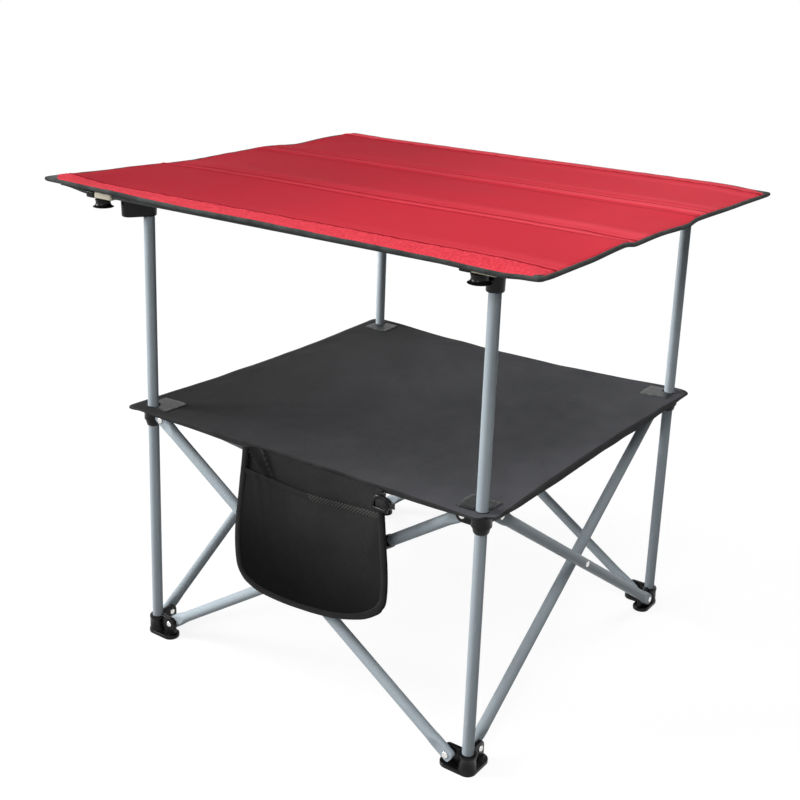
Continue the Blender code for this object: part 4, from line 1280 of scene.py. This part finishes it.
def makeTop(red, lining, binding):
    halfX, halfY = top["length"] / 2, top["width"] / 2
    fold, strip = table["foldLine"], top["stripHalf"]
    seams = [-halfY, -top["hemStitch"], top["nearGroove"], top["nearRidge"], top["farRidge"],
             top["farGroove"], top["hemStitch"], halfY]
    xStops = stopsBetween(-halfX, halfX, [-halfX, halfX], 0.0042, 0.0012, 0.004)
    panels = [("near", -halfY, -fold - strip), ("middle", -fold + strip, fold - strip),
              ("far", fold + strip, halfY)]
    for word, low, high in panels:
        shape = clothGrid(xStops, stopsBetween(low, high, seams))
        for vert in shape.verts:
            vert.co = topPlace(vert.co.x, vert.co.y)
        bmesh.ops.solidify(shape, geom=shape.faces[:], thickness=top["panelThickness"])
        for face in shape.faces:
            face.material_index = 0 if face.normal.z > 0.5 else 1
            if inCap(face.calc_center_median()):
                face.material_index = 2
        for vert in shape.verts:
            if vert.co.z < topHeight(vert.co.x, vert.co.y) - top["panelThickness"] / 2:
                vert.co.z = top["underside"] + rimHeight(vert.co.x, vert.co.y)
        pieceFrom(shape, "top_cloth_" + word, [red, lining, binding], "top_" + word,
                  ["top_panel_" + word], 50)
    under = top["underside"] + top["clothThickness"]
    for word, middle in (("near", -fold), ("far", fold)):
        ends = sorted([middle - strip, middle + strip], key=abs)
        for layer, finish in (("cloth", red), ("lining", lining)):
            rows = stopsBetween(middle - strip, middle + strip, seams + [middle], 0.002)
            shape = clothGrid(xStops, rows)
            area = flatArea(shape)
            for vert in shape.verts:
                vert.co = topPlace(vert.co.x, vert.co.y)
                if layer == "lining":
                    vert.co.z = under + rimHeight(vert.co.x, vert.co.y)
            piece = pieceFrom(shape, "fold_strip_%s_%s" % (layer, word), [finish],
                              nodes=["top_panel_" + word], sharper=60)
            walled(piece, top["clothThickness"])
            "top_" + word
            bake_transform(piece)
            2 * strip
            "top_cloth_" + word
    makeBinding(binding)


def makeBinding(finish):
    inset, strip, fold = top["bindingInset"], top["stripHalf"], table["foldLine"]
    halfX, halfY, turn = top["length"] / 2 - inset, top["width"] / 2 - inset, top["corner"] - inset

    def tape(points, thinner=1.0):
        line = []
        for x, y in points:
            rise = rimHeight(x, y) + top["bindingWave"] * ripple(x, y, 4.2, 0.02)
            line.append((x, y, top["bindingHeight"] + rise))
        return strand(line, top["binding"] * thinner, 8)

    def along(x, low, high):
        return [(x, y) for y in spread(low, high, max(2, round(abs(high - low) / 0.006)))]

    for word, way in (("near", -1), ("far", 1)):
        edgeY, seam = way * halfY, way * (fold + strip)
        centre = edgeY - way * turn
        leftArc = [(-halfX + turn - turn * math.cos(angle), centre + way * turn * math.sin(angle))
                   for angle in spread(0, quarterTurn, 8)]
        rightArc = [(-x, y) for x, y in leftArc[::-1]]
        points = along(-halfX, seam, centre)[:-1] + leftArc
        points += [(x, edgeY) for x in spread(-halfX + turn, halfX - turn, 130)[1:-1]]
        points += rightArc + along(halfX, centre, seam)[1:]
        pieceFrom(frayed(tape(points)), "binding_" + word, [finish], "top_" + word,
                  ["top_panel_" + word], 80)
    for name, wayX in (("left", -1), ("right", 1)):
        middle = frayed(tape(along(wayX * halfX, -fold + strip, fold - strip)))
        pieceFrom(middle, "binding_middle_" + name, [finish], "top_middle", ["top_panel_middle"],
                  80)
        for word, wayY in (("near", -1), ("far", 1)):
            ends = sorted([wayY * fold - strip, wayY * fold + strip], key=abs)
            short = tape(along(wayX * halfX, *ends), 0.94)
            piece = pieceFrom(short, "binding_strip_%s_%s" % (word, name), [finish],
                              nodes=["top_panel_" + word], sharper=80)
            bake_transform(piece)


def frayed(shape):
    # Lets a tape's surface wander a little
    for vert in shape.verts:
        spot = vert.co * 900
        vert.co += Vector((noise.noise(spot), noise.noise(spot + Vector((7, 0, 0))), 0)) * 0.00022
    return shape


redLook = {
    # The deepest red is painted shade with random mottle, the brightest painted light and sheen; the hem's
    # two reds are its painted lit and shaded ribs
    "base": (0.56, 0.026, 0.043), "shadeAndMottleRed": (0.37, 0.015, 0.028), "sheenAndMottleRed": (0.86, 0.085, 0.115),
    "thread": (0.17, 0.006, 0.012), "hem": (0.86, 0.082, 0.110), "hemShade": (0.60, 0.036, 0.054),
    # Y, half width and share of the painted sheen stripes beside the seams
    "paintedSheen": [(-0.130, 0.022, 0.26), (-0.088, 0.030, 0.34), (0.108, 0.026, 0.40), (0.150, 0.020, 0.20),
             (0.300, 0.020, 0.16), (-0.300, 0.024, 0.22), (-0.1300, 0.0050, 0.42),
             (-0.1080, 0.0060, 0.26), (0.0930, 0.0070, 0.34), (0.1270, 0.0050, 0.26),
             (-0.316, 0.007, 0.30)],
    # Y and share of the stitched lines, each a dark band of painted groove shade under its dashed thread
    "stitches": [(top["hemStitch"], 1.0), (-top["hemStitch"], 1.0), (top["nearRidge"] - 0.005, 0.55),
                 (top["nearGroove"], 0.95), (top["farRidge"] - 0.012, 0.45), (top["farGroove"], 0.80)],
    "stitchWide": (0.0034, 0.0012), "stitch": 0.0042, "stitchGap": 0.0010,
}


def topCloth():
    # Close satin-faced cloth, with its seams' thread, painted shade in the seam grooves, and painted light
    # and sheen on the panels
    look = redLook
    finish = Finish("top_cloth", look["base"], Roughness=0.5)
    where = finish.place("UV")
    x, y = finish.parts(where)[:2]
    weave = weaveOf(finish, where, 0.00075)
    slubs = finish.cloud(finish.stretched(where, (1, 7, 1)), 300, 2.0)
    fade = finish.cloud(where, 5, 3.0, 0.6)

    # painted shade, deeper towards the left and over the middle panel, with random mottle; painted sheen
    # beside the seams and painted light towards the right
    inner = finish.step(abs(y + 0.005), 0.115, 0.07)
    across = finish.step(x - inner * 0.08, -0.38, 0.30)
    tone = across * 0.9 + (fade - 0.5) * 0.5 + (slubs - 0.5) * 0.2 + 0.1
    shade = finish.mix(finish.step(tone, 0.0, 1.0), look["shadeAndMottleRed"], look["base"])
    # painted sheen stripes beside the seams
    stripes = [finish.step(abs(y - seam), width, 0.0) * share for seam, width, share in look["paintedSheen"]]
    paintedSheen = sum(stripes[1:], stripes[0])
    # painted light towards the right
    side = finish.step(x + y * 0.35, 0.05, 0.46) * 0.30
    tone = paintedSheen * (across * 0.6 + 0.4) + side + (fade - 0.5) * 0.25
    shade = finish.mix(finish.step(tone, 0.0, 1.0), shade, look["sheenAndMottleRed"])

    # the hem band is painted paler with sheen, and its puckered ribs in painted lit and shaded reds
    hem = finish.step(abs(y), 0.3230, 0.3262)
    ribs = finish.cloud(finish.stretched(where, (1, 0.22, 1)), 560, 2.0, 0.6)
    mottle = finish.cloud(where, 60, 4.0, 0.65)
    hemShare = finish.step(ribs * 0.8 + mottle * 0.2, 0.36, 0.68)
    shade = finish.mix(hem * 0.85, shade, finish.mix(hemShare, look["hemShade"], look["hem"]))

    # dark bands of painted shade in the seam grooves, with the real dashed thread along them
    seams = [finish.step(abs(y - seam), *look["stitchWide"]) * share for seam, share in look["stitches"]]
    grooveShadeBands = sum(seams[1:], seams[0])
    thread = grooveShadeBands * ((x % look["stitch"]) > look["stitchGap"])
    finish.give("Base Color", finish.mix(grooveShadeBands * 0.62 + thread * 0.30, shade, look["thread"]))
    finish.give("Roughness", fade * 0.16 + 0.42 - weave * 0.02)
    creases = finish.cloud(finish.stretched(where, (1, 0.6, 1)), 70, 4.0, 0.6)
    nearSeam = finish.step(paintedSheen, 0.02, 0.3) + hem
    first = finish.bump(creases * (nearSeam * 0.6 + 0.4), 0.30, 0.0030)
    second = finish.bump(ribs * (nearSeam * 0.8 + 0.1), 0.25, 0.0012, first)
    finish.give("Normal", finish.bump(weave + slubs * 0.5 + thread * 2.0, 0.22, 0.00025, second))
    finish.give("Specular IOR Level", 0.005)
    return finish


# Camera, floor and light

camera = {
    "place": (0.9961, -1.4894, 1.0200), "azimuth": 0.6029, "elevation": 0.2848, "roll": 0.0369,
    "focalPixels": 1231.7, "picture": 800, "sensor": 36.0, "shiftY": -0.1,
}


def makeCamera():
    size = camera
    turn, tilt, roll = size["azimuth"], size["elevation"], size["roll"]
    ahead = Vector((-math.sin(turn) * math.cos(tilt), math.cos(turn) * math.cos(tilt), -math.sin(tilt)))
    right = Vector((math.cos(turn), math.sin(turn), 0))
    up = right.cross(ahead)
    rolledRight = right * math.cos(roll) + up * math.sin(roll)
    rolledUp = up * math.cos(roll) - right * math.sin(roll)
    lens = bpy.data.cameras.new("camera")
    lens.sensor_width = size["sensor"]
    lens.lens = size["focalPixels"] * size["sensor"] / size["picture"]
    lens.shift_y = size["shiftY"]
    lens.clip_start, lens.clip_end = 0.05, 50
    eye = bpy.data.objects.new("camera", lens)
    axes = Matrix((rolledRight, rolledUp, -ahead)).transposed().to_4x4()
    eye.matrix_world = Matrix.Translation(size["place"]) @ axes
    bpy.context.scene.collection.objects.link(eye)
    bpy.context.scene.camera = eye


studio = {
    "floorColour": (0.20, 0.20, 0.20), "floorGlow": 0.86, "floorHalf": 14.0, "clear": (0.9, 3.2),
    "sky": 0.48, "skyFrom": (-0.62, -0.38, 0.68), "skyTurn": (-0.5, 0.8), "shadeSide": 0.035,
    "lampsAt": (0, 0, 0.4),
    "lamps": [
        ("key", (-3.5, -2.3, 2.0), 1.9, 192.0),
        ("front", (0.7, -3.4, 1.9), 1.4, 24.0),
        ("over", (1.1, -0.6, 3.0), 1.3, 30.0),
        ("back", (-0.6, 2.6, 1.9), 1.8, 3.0),
    ],
    # the right post stands in the top's shadow
    "spot": {"from": (-2.2, -0.6, 0.62), "at": (0.30, 0.27, 0.52), "cone": 13.0, "blend": 0.8,
             "size": 0.12, "power": 230.0},
}


def hang(lamp, place, at):
    holder = bpy.data.objects.new(lamp.name, lamp)
    holder.location = place
    holder.rotation_euler = (Vector(at) - Vector(place)).to_track_quat("-Z", "Y").to_euler()
    bpy.context.scene.collection.objects.link(holder)


def makeFloor():
    # Far from the table the floor thins out into the white room
    shape = bmesh.new()
    bmesh.ops.create_grid(shape, x_segments=4, y_segments=4, size=studio["floorHalf"])
    finish = Finish("studio_floor", studio["floorColour"], Roughness=0.9)
    floor = pieceFrom(shape, "floor", [finish])
    x, y = finish.parts(finish.place())[:2]
    finish.give("Alpha", 1 - finish.step((x * x + y * y) ** 0.5, *studio["clear"]))
    finish.give("Emission Color", (1.0, 1.0, 1.0, 1.0))
    finish.give("Emission Strength", finish.seen() * studio["floorGlow"])
    finish.give("Specular IOR Level", 0.0)


def makeRoom():
    # White where it is seen, with a softer light from the side that is turned from the lamps
    world = bpy.data.worlds.new("room")
    bpy.context.scene.world = world
    world.use_nodes = True
    world.node_tree.nodes.clear()
    room = Graph(world.node_tree)
    white = (1, 1, 1, 1)
    low, high = studio["skyTurn"]
    facing = room.add("ShaderNodeVectorMath", {"operation": "DOT_PRODUCT"},
                      {0: room.place("Generated"), 1: Vector(studio["skyFrom"]).normalized()}, "Value")
    strength = room.add("ShaderNodeMapRange", values={
        "Value": facing, "From Min": low, "From Max": high, "To Min": studio["shadeSide"],
        "To Max": studio["sky"]})
    light = room.add("ShaderNodeBackground", values={"Color": white, "Strength": strength})
    backdrop = room.add("ShaderNodeBackground", values={"Color": white, "Strength": 1.0})
    mixed = room.add("ShaderNodeMixShader", values={0: room.seen(), 1: light, 2: backdrop})
    room.add("ShaderNodeOutputWorld", values={0: mixed})


def makeLamps():
    for name, place, size, power in studio["lamps"]:
        lamp = bpy.data.lights.new(name, "AREA")
        lamp.size, lamp.energy = size, power
        hang(lamp, place, studio["lampsAt"])
    spot = studio["spot"]
    lamp = bpy.data.lights.new("spot", "SPOT")
    lamp.energy, lamp.shadow_soft_size = spot["power"], spot["size"]
    lamp.spot_size, lamp.spot_blend = math.radians(spot["cone"]), spot["blend"]
    hang(lamp, spot["from"], spot["at"])


# Putting it together

makeCamera()
makeFloor()
makeRoom()
makeLamps()
print("camera, floor and lamps are up")

tubeFinish = tubePaint()
plasticFinish = mouldedPlastic()
steelFinish = rivetSteel()
creamFinish = creamPlastic()
shelfFinish = darkCloth("shelf_cloth")
pocketFinish = darkCloth("pocket_cloth")
netFinish = darkCloth("pocket_net")
hemFinish = tapeCloth("shelf_hem")
pipingFinish = tapeCloth("pocket_piping")
bindingFinish = tapeCloth("top_binding")
liningFinish = tapeCloth("top_lining")
rodFinish = tapeCloth("edge_rod")
vinylFinish = patchVinyl()
redFinish = topCloth()
print("finishes are mixed")

makePosts(tubeFinish)
makeBraces(tubeFinish, plasticFinish)
makeRivets(steelFinish)
makeHubs(plasticFinish)
makeFeet(plasticFinish)
makeHeads(plasticFinish)
makeClamps(plasticFinish, creamFinish, rodFinish)
print("frame stands")

makeShelf(shelfFinish, hemFinish, vinylFinish)
makePocket(pocketFinish, pipingFinish, pocketFinish, netFinish, plasticFinish)
print("shelf and pocket hang")

makeTop(redFinish, liningFinish, bindingFinish)
print("top is laid")

bpy.context.scene.view_settings.view_transform = "Standard"
bpy.context.view_layer.update()
